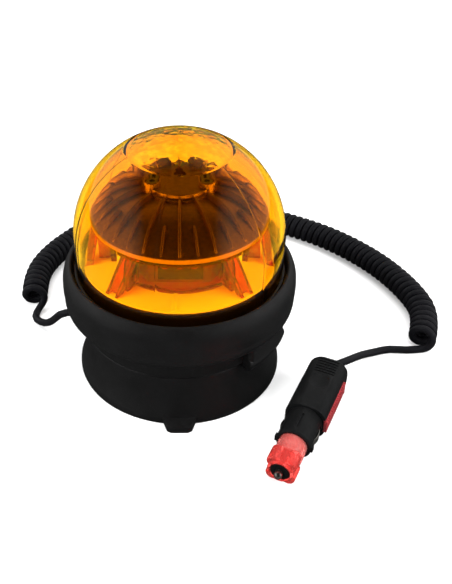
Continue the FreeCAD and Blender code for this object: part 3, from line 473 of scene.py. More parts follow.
# ---------------------------------------------------------------- node helpers
def put(tree, kind, settings=None, **inputs):
    """Adds a shader node. An input given as a socket is linked, and anything else is its value."""
    node = tree.nodes.new(kind)
    for key, value in (settings or {}).items():
        setattr(node, key, value)
    for key, value in inputs.items():
        name = key.replace("_", " ")
        socket = node.inputs[int(name[1:])] if name[0] == "i" and name[1:].isdigit() else node.inputs[name]
        if isinstance(value, bpy.types.NodeSocket):
            tree.links.new(value, socket)
        else:
            socket.default_value = value
    return node


def math_node(tree, operation, first, second=0.0, clamp=False):
    settings = {"operation": operation, "use_clamp": clamp}
    return put(tree, "ShaderNodeMath", settings, i0=first, i1=second).outputs[0]


def mixed(tree, factor, first, second):
    """Colour between two colours."""
    first, second = (value if isinstance(value, bpy.types.NodeSocket) else rgba(value)
                     for value in (first, second))
    return put(tree, "ShaderNodeMix", {"data_type": "RGBA"}, i0=factor, i6=first, i7=second).outputs[2]


def face_tint(tint):
    """Colour that shadow rays take at one face of a wall, so that its two faces together give the tint."""
    return [math.sqrt(channel) for channel in tint]


def ramped(tree, value, low, high, start=0.0, end=1.0):
    return put(tree, "ShaderNodeMapRange", {"clamp": True}, Value=value, From_Min=low, From_Max=high,
               To_Min=start, To_Max=end).outputs["Result"]


def rgba(colour):
    return (*colour[:3], 1.0)


def object_place(tree):
    return tree.nodes.new("ShaderNodeTexCoord").outputs["Object"]


def new_group(name, inputs, outputs):
    """Empty shader group with named sockets."""
    group = bpy.data.node_groups.new(name, "ShaderNodeTree")
    for label, kind, value in inputs:
        socket = group.interface.new_socket(label, in_out="INPUT", socket_type=kind)
        socket.default_value = value
    for label, kind in outputs:
        group.interface.new_socket(label, in_out="OUTPUT", socket_type=kind)
    start = group.nodes.new("NodeGroupInput")
    end = group.nodes.new("NodeGroupOutput")
    return group, start.outputs, end.inputs


FLOAT = "NodeSocketFloat"


def grain_group():
    """Fine moulded grain with a cloudy tone: a mask, a roughness change and a height."""
    if "Moulded Grain" in bpy.data.node_groups:
        return bpy.data.node_groups["Moulded Grain"]
    group, given, result = new_group(
        "Moulded Grain",
        [("Grain Scale", FLOAT, 2500.0), ("Cloud Scale", FLOAT, 60.0), ("Cloud", FLOAT, 0.5)],
        [("Tone", FLOAT), ("Roughness", FLOAT), ("Height", FLOAT)])
    place = object_place(group)
    fine = put(group, "ShaderNodeTexNoise", Vector=place, Scale=given["Grain Scale"],
               Detail=3.0, Roughness=0.6)
    cloud = put(group, "ShaderNodeTexNoise", Vector=place, Scale=given["Cloud Scale"],
                Detail=4.0, Roughness=0.55)
    cloudy = math_node(group, "MULTIPLY", ramped(group, cloud.outputs[0], 0.35, 0.65), given["Cloud"])
    group.links.new(cloudy, result["Tone"])
    group.links.new(ramped(group, fine.outputs[0], 0.3, 0.7), result["Height"])
    group.links.new(math_node(group, "MULTIPLY", cloudy, 0.18), result["Roughness"])
    return group


def wear_group():
    """Mask of edges that hands have rubbed, broken up by noise."""
    if "Rubbed Edges" in bpy.data.node_groups:
        return bpy.data.node_groups["Rubbed Edges"]
    group, given, result = new_group("Rubbed Edges", [("Width", FLOAT, 0.001), ("Amount", FLOAT, 0.5)],
                                     [("Mask", FLOAT)])
    rounded = put(group, "ShaderNodeBevel", {"samples": 6}, Radius=given["Width"])
    flat = group.nodes.new("ShaderNodeNewGeometry")
    alike = put(group, "ShaderNodeVectorMath", {"operation": "DOT_PRODUCT"}, i0=rounded.outputs[0],
                i1=flat.outputs["Normal"])
    edge = ramped(group, alike.outputs["Value"], 0.995, 0.86)
    noise = put(group, "ShaderNodeTexNoise", Vector=object_place(group), Scale=420.0, Detail=4.0)
    broken = math_node(group, "MULTIPLY", edge, ramped(group, noise.outputs[0], 0.38, 0.62))
    group.links.new(math_node(group, "MULTIPLY", broken, given["Amount"], True), result["Mask"])
    return group


def dust_group():
    """Thin dust that settles on faces that look up."""
    if "Settled Dust" in bpy.data.node_groups:
        return bpy.data.node_groups["Settled Dust"]
    group, given, result = new_group("Settled Dust", [("Amount", FLOAT, 0.2)], [("Mask", FLOAT)])
    flat = group.nodes.new("ShaderNodeNewGeometry")
    split = put(group, "ShaderNodeSeparateXYZ", Vector=flat.outputs["Normal"])
    upward = ramped(group, split.outputs["Z"], 0.1, 1.0)
    place = object_place(group)
    noise = put(group, "ShaderNodeTexNoise", Vector=place, Scale=900.0, Detail=6.0, Roughness=0.75)
    specks = ramped(group, noise.outputs[0], 0.42, 0.75)
    dusty = math_node(group, "MULTIPLY", upward, specks)
    group.links.new(math_node(group, "MULTIPLY", dusty, given["Amount"], True), result["Mask"])
    return group


def placed(tree, group, **values):
    node = tree.nodes.new("ShaderNodeGroup")
    node.node_tree = group
    for key, value in values.items():
        node.inputs[key.replace("_", " ")].default_value = value
    return node.outputs


def new_finish(name):
    """Empty material: its tree, its Principled shader and its output."""
    finish = bpy.data.materials.new(name)
    finish.use_nodes = True
    tree = finish.node_tree
    return finish, tree, tree.nodes["Principled BSDF"], tree.nodes["Material Output"]


def set_plain(shader, **values):
    for key, value in values.items():
        shader.inputs[key.replace("_", " ")].default_value = value


def moulded_finish(name, colour, roughness=0.5, grain=2500.0, bump=0.02, cloud=0.6, wear=0.4, dust=0.15,
                   specular=0.5, lighter=2.4):
    """Moulded rubber or plastic: cloudy tone, fine grain, rubbed edges and a little dust."""
    finish, tree, shader, _ = new_finish(name)
    surface = placed(tree, grain_group(), Grain_Scale=grain, Cloud_Scale=70.0, Cloud=cloud)
    rubbed = placed(tree, wear_group(), Width=0.9 * MM, Amount=wear)
    dusty = placed(tree, dust_group(), Amount=dust)
    light = [min(1.0, channel * 1.35 + 0.001) for channel in colour]
    worn = [min(1.0, channel * lighter + 0.002) for channel in colour]
    tone = mixed(tree, surface["Tone"], colour, light)
    tone = mixed(tree, rubbed["Mask"], tone, worn)
    tone = mixed(tree, dusty["Mask"], tone, (0.03, 0.029, 0.028))
    tree.links.new(tone, shader.inputs["Base Color"])
    rough = math_node(tree, "ADD", surface["Roughness"], roughness, True)
    tree.links.new(rough, shader.inputs["Roughness"])
    relief = put(tree, "ShaderNodeBump", Strength=1.0, Distance=bump * MM, Height=surface["Height"])
    tree.links.new(relief.outputs[0], shader.inputs["Normal"])
    set_plain(shader, Specular_IOR_Level=specular)
    return finish


def metal_finish(name, colour, roughness=0.3, stretch=(1, 1, 1), scale=900.0, variation=0.15):
    """Plated metal with fine streaks and slightly uneven gloss."""
    finish, tree, shader, _ = new_finish(name)
    place = put(tree, "ShaderNodeMapping", Vector=object_place(tree))
    place.inputs["Scale"].default_value = stretch
    streak = put(tree, "ShaderNodeTexNoise", Vector=place.outputs[0], Scale=scale, Detail=5.0, Roughness=0.65)
    dark = [channel * 0.72 for channel in colour]
    shade = mixed(tree, ramped(tree, streak.outputs[0], 0.3, 0.7), dark, colour)
    tree.links.new(shade, shader.inputs["Base Color"])
    tree.links.new(ramped(tree, streak.outputs[0], 0.25, 0.75, roughness, roughness + variation),
                   shader.inputs["Roughness"])
    relief = put(tree, "ShaderNodeBump", Strength=0.6, Distance=0.006 * MM, Height=streak.outputs[0])
    tree.links.new(relief.outputs[0], shader.inputs["Normal"])
    set_plain(shader, Metallic=1.0)
    return finish


def clear_finish(name, tint, roughness=0.03, ripple=0.02, ripple_scale=55.0, ior=1.5, relief_of=None,
                 clearness=1.0, shade=None):
    """See-through moulding. Shadow rays pass it tinted, so that what is inside gets its light."""
    finish, tree, shader, output = new_finish(name)
    place = object_place(tree)
    flow = put(tree, "ShaderNodeTexNoise", Vector=place, Scale=ripple_scale, Detail=2.0, Roughness=0.4)
    height = ramped(tree, flow.outputs[0], 0.3, 0.7)
    if relief_of:
        hollow, pale, paler = relief_of(tree, place)
        height = math_node(tree, "ADD", height, hollow)
        tree.links.new(mixed(tree, pale, tint, paler), shader.inputs["Base Color"])
    relief = put(tree, "ShaderNodeBump", Strength=1.0, Distance=ripple * MM, Height=height)
    tree.links.new(relief.outputs[0], shader.inputs["Normal"])
    haze = put(tree, "ShaderNodeTexNoise", Vector=place, Scale=ripple_scale * 9, Detail=4.0)
    tree.links.new(ramped(tree, haze.outputs[0], 0.3, 0.8, roughness, roughness + 0.05),
                   shader.inputs["Roughness"])
    set_plain(shader, Base_Color=rgba(tint), Transmission_Weight=clearness, IOR=ior)
    passing = put(tree, "ShaderNodeBsdfTransparent", Color=rgba(shade or face_tint(tint)))
    path = tree.nodes.new("ShaderNodeLightPath")
    both = put(tree, "ShaderNodeMixShader", i0=path.outputs["Is Shadow Ray"], i1=shader.outputs[0],
               i2=passing.outputs[0])
    tree.links.new(both.outputs[0], output.inputs["Surface"])
    return finish


def lens_dimples(tree, place):
    """Height of the patchy dimples at the top of the dome, a mask of the paler spots and their colour."""
    lens = bpy.context.scene.beacon_lens
    split = put(tree, "ShaderNodeSeparateXYZ", Vector=place)
    flat = put(tree, "ShaderNodeCombineXYZ", X=split.outputs["X"], Y=split.outputs["Y"])
    reach = put(tree, "ShaderNodeVectorMath", {"operation": "LENGTH"}, i0=flat.outputs[0]).outputs["Value"]
    inside = ramped(tree, reach, lens.cap_radius, lens.cap_radius - 1.5 * MM)
    blobs = put(tree, "ShaderNodeTexVoronoi", {"feature": "SMOOTH_F1"}, Vector=place, Scale=260.0,
                Randomness=1.0)
    spots = put(tree, "ShaderNodeTexNoise", Vector=place, Scale=210.0, Detail=1.5)
    pale = math_node(tree, "MULTIPLY", ramped(tree, spots.outputs[0], 0.45, 0.62), inside)
    deep = math_node(tree, "MULTIPLY", blobs.outputs["Distance"], 5.0)
    paler = [min(1.0, channel * 1.45 + 0.01) for channel in lens.tint]
    return math_node(tree, "MULTIPLY", deep, inside), pale, paler


def sleeve_clouds(tree, place):
    """Fine unevenness of the red sleeve, a mask of its milky neck and streaks, and their colour."""
    flow = put(tree, "ShaderNodeTexNoise", Vector=place, Scale=420.0, Detail=3.0)
    from_rear = put(tree, "ShaderNodeVectorMath", {"operation": "SUBTRACT"}, i0=place, i1=PLUG_REAR)
    along = put(tree, "ShaderNodeVectorMath", {"operation": "DOT_PRODUCT"}, i0=from_rear.outputs[0],
                i1=PLUG_ALONG)
    neck = ramped(tree, along.outputs["Value"], NECK_END + 1.0 * MM, NECK_END - 1.0 * MM, 0.15, 0.85)
    milky = math_node(tree, "MULTIPLY", neck, ramped(tree, flow.outputs[0], 0.35, 0.6, 0.55, 1.0))
    return math_node(tree, "MULTIPLY", flow.outputs[0], 1.5), milky, (0.9, 0.33, 0.3)


def board_finish(name):
    """Black solder mask with paler tracks."""
    finish, tree, shader, _ = new_finish(name)
    cells = put(tree, "ShaderNodeTexVoronoi", {"feature": "DISTANCE_TO_EDGE"}, Vector=object_place(tree),
                Scale=260.0)
    mask = ramped(tree, cells.outputs["Distance"], 0.02, 0.05)
    tone = mixed(tree, mask, (0.06, 0.045, 0.04), (0.02, 0.016, 0.016))
    tree.links.new(tone, shader.inputs["Base Color"])
    set_plain(shader, Roughness=0.3)
    return finish


FINISHES = {}


def finish_of(slot):
    """Material of a record slot, made the first time it is asked for."""
    if not FINISHES:
        FINISHES.update(make_finishes())
    return FINISHES[slot]


def make_finishes():
    """Every material, by its slot in the record."""
    colours = bpy.context.scene.beacon_finish
    lens = bpy.context.scene.beacon_lens
    lead = bpy.context.scene.beacon_lead
    return {
        "black_rubber": moulded_finish(
            "black rubber", colours.rubber, 0.46, grain=1500.0, bump=0.05, cloud=0.8, wear=0.55,
            specular=0.95),
        "black_plastic": moulded_finish(
            "black moulded base", colours.housing, 0.42, grain=2200.0, bump=0.03, cloud=0.5, dust=0.08,
            specular=0.9),
        "seal_rubber": moulded_finish(
            "seal rubber", colours.rubber, 0.5, grain=1200.0, cloud=0.4, wear=0.2, dust=0.1),
        "plug_black": moulded_finish(
            "plug moulding", colours.plug, 0.36, grain=2600.0, bump=0.025, cloud=0.5, wear=0.5, dust=0.1,
            specular=0.2),
        "component_black": moulded_finish(
            "board components", (0.02, 0.02, 0.024), 0.4, grain=2000.0, bump=0.01),
        "cord_black": moulded_finish(
            "lead jacket", lead.jacket, 0.32, grain=1800.0, cloud=0.4, wear=0.0, dust=0.12, specular=0.3),
        "black_metal": metal_finish("black casting", colours.sink, 0.3, (1, 1, 1), 500.0, 0.12),
        "white_plastic": moulded_finish(
            "white deck", colours.deck, 0.38, grain=1800.0, bump=0.01, cloud=0.2, wear=0.0, dust=0.0),
        "red_plastic": moulded_finish(
            "red strip", colours.red_solid, 0.32, grain=2200.0, cloud=0.4, wear=0.3, dust=0.08, lighter=1.6),
        "wire_red": moulded_finish("red wire", (0.4, 0.02, 0.015), 0.35, grain=2000.0, bump=0.01),
        "led_yellow": moulded_finish(
            "lamp phosphor", (0.75, 0.62, 0.12), 0.4, grain=3000.0, bump=0.01, cloud=0.3, wear=0.0, dust=0.0),
        "circuit_board": board_finish("circuit board"),
        "amber_clear": clear_finish("amber dome", lens.tint, 0.015, 0.03, 40.0, relief_of=lens_dimples),
        "clear_plastic": clear_finish("clear window", colours.window, 0.02, 0.02, 120.0),
        "red_clear": clear_finish(
            "red sleeve", colours.red_clear, 0.04, 0.12, 330.0, 1.45, relief_of=sleeve_clouds,
            clearness=0.86),
        "fuse_glass": clear_finish("fuse glass", (0.95, 0.96, 0.97), 0.02, shade=(0.97, 0.97, 0.97)),
        "zinc_steel": metal_finish("zinc plating", (0.62, 0.63, 0.65), 0.28),
        "nickel": metal_finish("nickel contact", (0.66, 0.63, 0.58), 0.16, (1, 1, 3)),
        "brass": metal_finish("plain brass", (0.72, 0.52, 0.22), 0.25),
        "ferrite": moulded_finish(
            "ground ferrite", (0.045, 0.042, 0.04), 0.45, grain=900.0, bump=0.03, cloud=0.7, wear=0.5,
            dust=0.2),
    }


# ---------------------------------------------------------------- fitting pieces to the frame
def body_with(node):
    for body, members in frame["record"]["behaviour"]["bodies"].items():
        if node in members:
            return body
    raise ValueError("no body holds " + node)


def slot_of(node):
    for row in frame["record"]["subparts"]:
        if row["node"] == node:
            return row["material_slot"]
    raise ValueError("no slot for " + node)


def coat(piece, slot):
    piece.data.materials.clear()
    piece.data.materials.append(finish_of(slot))


def dress(piece, *nodes):
    """The piece stands for these nodes: it rides with them and takes their finish."""
    coat(piece, slot_of(nodes[0]))
    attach(piece, body_with(nodes[0]))
    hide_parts(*nodes)
    return piece


def keep_solid(*nodes):
    """These nodes stay as they are, with their own finish."""
    for node in nodes:
        coat(frame["nodes"][node], slot_of(node))


def rounded_pieces(table):
    for node, name, width in table:
        dress(rounded_copy(node, name, width), node)


# ---------------------------------------------------------------- operators
class BEACON_OT_stage(bpy.types.Operator):
    """Camera, soft lamps, white surround and pale floor"""
    bl_idname = "beacon.stage"
    bl_label = "Stage"

    def execute(self, context):
        stage = context.scene.beacon_stage
        context.scene.view_settings.view_transform = "Standard"
        self.add_camera(context, stage)
        self.add_lamps(context, stage)
        self.add_surround(context, stage)
        self.add_floor(stage)
        return {"FINISHED"}

    def add_camera(self, context, stage):
        data = bpy.data.cameras.new("camera")
        data.sensor_width = 36.0
        data.lens = stage.focal_length
        data.shift_x = stage.side_shift
        data.clip_start = 0.01
        camera = bpy.data.objects.new("camera", data)
        camera.location = (0.0, -stage.camera_distance, stage.camera_height)
        camera.rotation_euler = (math.pi / 2 - stage.camera_tilt, 0.0, 0.0)
        context.scene.collection.objects.link(camera)
        context.scene.camera = camera

    def add_lamps(self, context, stage):
        """Soft boxes, each with its place, width and power, turned to the middle of the beacon."""
        middle = Vector((0, 0, 0.08))
        lamps = [
            ("overhead", (0.05, 0.05, 1.1), 1.1, stage.key_power),
            ("left", (-0.85, -0.5, 0.45), 0.7, stage.side_power),
            ("right", (0.85, -0.45, 0.5), 0.7, stage.side_power),
        ]
        for name, place, size, power in lamps:
            data = bpy.data.lights.new(name, "AREA")
            data.shape = "SQUARE"
            data.size = size
            data.energy = power
            lamp = bpy.data.objects.new(name, data)
            lamp.visible_glossy = False
            lamp.visible_transmission = False
            lamp.location = place
            lamp.rotation_euler = (middle - Vector(place)).to_track_quat("-Z", "Y").to_euler()
            context.scene.collection.objects.link(lamp)

    def add_surround(self, context, stage):
        """Light from the sides and from behind, with white where it is seen directly or straight through."""
        world = bpy.data.worlds.new("surround")
        world.use_nodes = True
        context.scene.world = world
        tree = world.node_tree
        glow = tree.nodes["Background"]
        toward = tree.nodes.new("ShaderNodeTexCoord").outputs["Generated"]
        way = put(tree, "ShaderNodeSeparateXYZ", Vector=toward)
        across = math_node(tree, "ABSOLUTE", way.outputs["X"])
        aside = ramped(tree, across, 0.58, 0.8)
        behind = ramped(tree, way.outputs["Y"], 0.15, 0.5)
        behind = math_node(tree, "MULTIPLY", behind, ramped(tree, across, 0.0, 0.5, 0.3, 1.0))
        bright = math_node(tree, "MAXIMUM", aside, behind)
        lit = ramped(tree, bright, 0.0, 1.0, stage.surround * 0.01, stage.surround)
        path = tree.nodes.new("ShaderNodeLightPath")
        bounces = math_node(tree, "SUBTRACT", path.outputs["Ray Depth"], path.outputs["Transmission Depth"])
        unbent = math_node(tree, "LESS_THAN", bounces, 1.5)
        tree.links.new(math_node(tree, "MAXIMUM", lit, unbent), glow.inputs["Strength"])
        glow.inputs["Color"].default_value = (1, 1, 1, 1)

    def add_floor(self, stage):
        """Floor that stays dark in reflections, and turns white far from the beacon."""
        half = 3.0
        low = -1e-4
        corners = [(-half, -half, low), (half, -half, low), (half, half, low), (-half, half, low)]
        floor = mesh_from("floor", corners, [(0, 1, 2, 3)], False)
        finish, tree, shader, output = new_finish("pale floor")
        mottle = put(tree, "ShaderNodeTexNoise", Vector=object_place(tree), Scale=3.0, Detail=2.0)
        colour = stage.floor_colour
        darker = [0.99 * channel for channel in colour]
        tone = mixed(tree, ramped(tree, mottle.outputs[0], 0.3, 0.7), darker, colour)
        set_plain(shader, Roughness=0.9, Specular_IOR_Level=0.1)
        path = tree.nodes.new("ShaderNodeLightPath")
        mirrored = [stage.floor_mirror * channel for channel in colour]
        passed = math_node(tree, "SUBTRACT", 1.0, path.outputs["Is Transmission Ray"])
        bounced = math_node(tree, "MULTIPLY", path.outputs["Is Glossy Ray"], passed)
        tree.links.new(mixed(tree, bounced, tone, mirrored), shader.inputs["Base Color"])
        seen = math_node(tree, "MAXIMUM", path.outputs["Is Camera Ray"], path.outputs["Is Transmission Ray"])
        glow = put(tree, "ShaderNodeEmission", Color=(1, 1, 1, 1))
        reach = put(tree, "ShaderNodeVectorMath", {"operation": "LENGTH"}, i0=object_place(tree))
        far_glow = ramped(tree, reach.outputs["Value"], 0.7, 1.6, stage.floor_glow, 1.0)
        tree.links.new(math_node(tree, "MULTIPLY", seen, far_glow), glow.inputs["Strength"])
        both = put(tree, "ShaderNodeAddShader", i0=shader.outputs[0], i1=glow.outputs[0])
        tree.links.new(both.outputs[0], output.inputs["Surface"])
        floor.data.materials.append(finish)


class BEACON_OT_lead(bpy.types.Operator):
    """Curly lead as one curve, from the base to the plug"""
    bl_idname = "beacon.lead"
    bl_label = "Curly lead"

    def execute(self, context):
        lead = context.scene.beacon_lead
        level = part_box("cord_coil")[1].z / 2
        axis = self.route_line([Vector((x * MM, y * MM, level)) for x, y in COIL_ROUTE])
        turns = self.helix(axis, lead)
        base = [Vector(point) * MM for point in BASE_LEAD[:-1]]
        plug = [Vector(point) * MM for point in PLUG_LEAD[1:]]
        plug += [PLUG_REAR + PLUG_ALONG * far * MM for far in (-4, 0, 4)]
        piece = self.curve_of("curly_lead", base + turns + plug)
        piece.data.bevel_depth = lead.wire_diameter / 2
        piece.data.bevel_resolution = 3
        piece.data.resolution_u = 2
        piece.data.use_fill_caps = True
        coat(piece, "cord_black")
        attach(piece, body_with("cord_coil"))
        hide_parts("cord_base_lead", "cord_coil", "cord_plug_lead")
        return {"FINISHED"}

    @staticmethod
    def curve_of(name, points):
        """Open NURBS curve through control points."""
        data = bpy.data.curves.new(name, "CURVE")
        data.dimensions = "3D"
        spline = data.splines.new("NURBS")
        spline.points.add(len(points) - 1)
        for place, point in zip(spline.points, points):
            place.co = (*point, 1.0)
        spline.order_u = 3
        spline.use_endpoint_u = True
        piece = bpy.data.objects.new(name, data)
        bpy.context.scene.collection.objects.link(piece)
        return piece

    def route_line(self, points):
        """Close points along the route's own spline."""
        route = self.curve_of("coil_route", points)
        route.data.resolution_u = 40
        graph = bpy.context.evaluated_depsgraph_get()
        mesh = bpy.data.meshes.new_from_object(route.evaluated_get(graph))
        line = [vertex.co.copy() for vertex in mesh.vertices]
        data = route.data
        bpy.data.objects.remove(route)
        bpy.data.curves.remove(data)
        bpy.data.meshes.remove(mesh)
        return line

    def helix(self, line, lead):
        """Turns round the route. Their pitch opens where the route bends, so that they never touch inside."""
        first_phase = math.radians(196.0)
        last_phase = math.radians(-90.0)
        far = [0.0]
        for first, second in zip(line, line[1:]):
            far.append(far[-1] + (second - first).length)
        turned = (len(self.places(line, far, lead, 1.0)) - 1) * TAU / lead.points_per_turn
        wanted = first_phase - last_phase
        whole = wanted + TAU * round((turned - wanted) / TAU)
        places = self.places(line, far, lead, turned / whole)
        step = whole / (len(places) - 1)
        points = []
        for index, (centre, tangent) in enumerate(places):
            side = Vector((0, 0, 1)).cross(tangent).normalized()
            phase = first_phase - index * step
            lift = Vector((0, 0, lead.coil_radius * math.sin(phase)))
            points.append(centre + side * (lead.coil_radius * math.cos(phase)) + lift)
        return points

    def places(self, line, far, lead, stretch):
        """Where each control point's centre lies on the route, and the route's direction there.

        far holds the distance along the line at each of its points. The bend is measured over window points
        on each side. The first and last turns are looser by loose_pitch, which fades within the fade lengths.
        """
        window = 14
        near = 3
        gap = 0.3 * MM
        loose_pitch = 10.0 * MM
        first_fade = 4.0 * MM
        last_fade = 3.0 * MM
        final = len(line) - 1
        result = []
        at = 0.0
        index = 0
        total = far[-1]
        while at < total:
            while index < final - 1 and far[index + 1] < at:
                index += 1
            share = (at - far[index]) / max(far[index + 1] - far[index], 1e-9)
            centre = line[index].lerp(line[index + 1], share)
            before = line[max(index - window, 0)]
            after = line[min(index + window + 1, final)]
            tangent = (line[min(index + near, final)] - line[max(index - near, 0)]).normalized()
            come = (line[index] - before).normalized() if index else tangent
            go = (after - line[index]).normalized()
            bend = come.angle(go, 0.0) / max((after - before).length / 2, 1e-6)
            pitch = lead.closed_pitch / max(1 - (lead.coil_radius + gap) * bend, 0.6)
            loose = math.exp(-at / first_fade) + math.exp(-(total - at) / last_fade)
            result.append((centre, tangent))
            at += stretch * (pitch + loose_pitch * loose) / lead.points_per_turn
        return result


class BEACON_OT_foot(bpy.types.Operator):
    """Rubber foot with its magnet"""
    bl_idname = "beacon.foot"
    bl_label = "Foot"

    def execute(self, context):
        rounded_pieces([("foot_cup", "foot_skirt", 0.0008), ("magnet_pot", "magnet_cup", 0.0004)])
        keep_solid("magnet_carrier", "ring_magnet", "foot_washer", "foot_nut")
        return {"FINISHED"}


class BEACON_OT_base(bpy.types.Operator):
    """Moulded base, rubber collar, seal and driver"""
    bl_idname = "beacon.base"
    bl_label = "Base"

    def execute(self, context):
        rounded_pieces([
            ("base_housing", "moulded_base", 0.0004),
            ("rubber_collar", "collar", 0.0005),
            ("cable_grommet", "lead_grommet", 0.0003),
        ])
        keep_solid("lens_seal", "inner_lead", "driver_board", "board_parts", "board_screws")
        return {"FINISHED"}


class BEACON_OT_lens(bpy.types.Operator):
    """Amber dome with its bead, groove, ridges and lugs"""
    bl_idname = "beacon.lens"
    bl_label = "Lens"

    def execute(self, context):
        lens = context.scene.beacon_lens
        low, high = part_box("lens")
        radius = (high.x - low.x) / 2 - lens.bead_reach
        centre = high.z - radius
        ridges = [(lens.ridge_azimuth + turn) % TAU for turn in evenly(lens.ridge_count)]
        half = lens.ridge_half_angle
        offsets = [share * half for share in (-1, -0.55, -0.3, 0, 0.3, 0.55, 1)]
        angles = azimuths_with(math.radians(2.5), ridges, offsets)
        ridge_top = math.acos(lens.cap_radius / radius) - math.radians(2.0)
        ridge_low = low.z + 5.0 * MM

        def shift(reach, height, angle):
            """Extra radius where a ridge runs, from below the groove down to the skirt."""
            if reach < radius - lens.wall * 0.5 and height < centre:
                return 0.0
            up = math.atan2(height - centre, reach)
            away = math.hypot(reach, max(height - centre, 0.0))
            if away < radius - 1e-5 or up > ridge_top or height < ridge_low:
                return 0.0
            near = min(apart(angle, ridge) for ridge in ridges)
            return lens.ridge_height * max(0.0, 1.0 - (near / half) ** 2)

        shell = lathe("amber_shell", self.section(lens, radius, low.z, centre), angles, shift)
        crease_by_angle(shell.data, SHADE_EDGE)
        bore = radius - lens.wall
        lug = arc_block("bayonet_lug", bore - lens.lug_depth, bore + 0.5 * MM, low.z + lens.lug_low,
                        low.z + lens.lug_low + lens.lug_height, math.radians(5.0))
        coat(lug, "amber_clear")
        repeated(lug, 3, first=math.radians(30.0), turn=TAU / 3)
        dress(merged("amber_dome", [shell, lug]), "lens")
        return {"FINISHED"}

    @staticmethod
    def section(lens, radius, low, centre):
        """Closed profile of the dome: up the outside, over the top and down the inside, past its groove."""
        def dome(reach, first, last, count):
            return [(reach * math.cos(up), centre + reach * math.sin(up))
                    for up in spaced(first, last, count)]
        bead = low + lens.bead_low
        half = lens.bead_height / 2
        shoulder = bead + lens.bead_height
        soft = 0.4 * MM
        outer = [(radius - soft, low), (radius - 0.1 * soft, low + 0.3 * soft), (radius, low + soft),
                 (radius, bead)]
        outer += [(radius + lens.bead_reach * (0.55 + 0.45 * math.cos(up)), bead + half + half * math.sin(up))
                  for up in spaced(-math.pi / 2, math.pi / 2, 8)]
        outer += [(radius, height) for height in spaced(shoulder, centre, 6)[:-1]]
        outer += dome(radius, 0.0, math.pi / 2, 44)[:-1] + [(0.0, centre + radius)]
        bore = radius - lens.wall
        groove = math.acos(lens.cap_radius / bore)
        wide = math.radians(0.42)
        deep = math.radians(0.16)
        inner = dome(bore, 0.0, groove - wide, 26)
        inner += dome(bore + lens.cap_groove, groove - deep, groove + deep, 2)
        inner += dome(bore, groove + wide, math.pi / 2, 14)[:-1] + [(0.0, centre + bore)]
        return outer + inner[::-1] + [(bore, height) for height in spaced(centre, low, 6)[1:]]


class BEACON_OT_light_head(bpy.types.Operator):
    """White deck, clear windows and lamps"""
    bl_idname = "beacon.light_head"
    bl_label = "Light head"

    def execute(self, context):
        rounded_pieces([
            ("deck_plate", "light_deck", 0.0003),
            ("optic_front", "window_front", 0.0004),
            ("optic_rear_right", "window_rear_right", 0.0004),
            ("optic_rear_left", "window_rear_left", 0.0004),
        ])
        keep_solid("led_boards", "led_leads")
        self.chips(context.scene.beacon_lamps)
        return {"FINISHED"}

    @staticmethod
    def chips(lamps):
        """Lamps in a row on each of the three boards: a square-edged base and a low dome."""
        low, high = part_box("led_chips")
        middle = (low.z + high.z) / 2
        half = lamps.chip_size / 2
        rim = lamps.chip_height / 2
        soft = 0.1 * MM
        dome = half * 0.8
        section = [(0.0, 0.0), (half, 0.0), (half, rim - soft), (half - soft, rim), (dome, rim)]
        section += [(dome * math.cos(up), rim + rim * math.sin(up)) for up in evenly(32)[1:8]]
        chip = lathe("lamp_chips", section + [(0.0, 2 * rim)], evenly(24))
        crease_by_angle(chip.data, SHADE_EDGE)
        chip.data.transform(Matrix.Rotation(math.pi / 2, 4, "X"))
        coat(chip, "led_yellow")
        side = lamps.chip_pitch * (lamps.chips - 1) / 2
        shifted(chip, (-side, low.y + 2 * rim, middle))
        repeated(chip, lamps.chips, step=(lamps.chip_pitch, 0.0, 0.0))
        repeated(chip, 3, turn=TAU / 3)
        dress(chip, "led_chips")


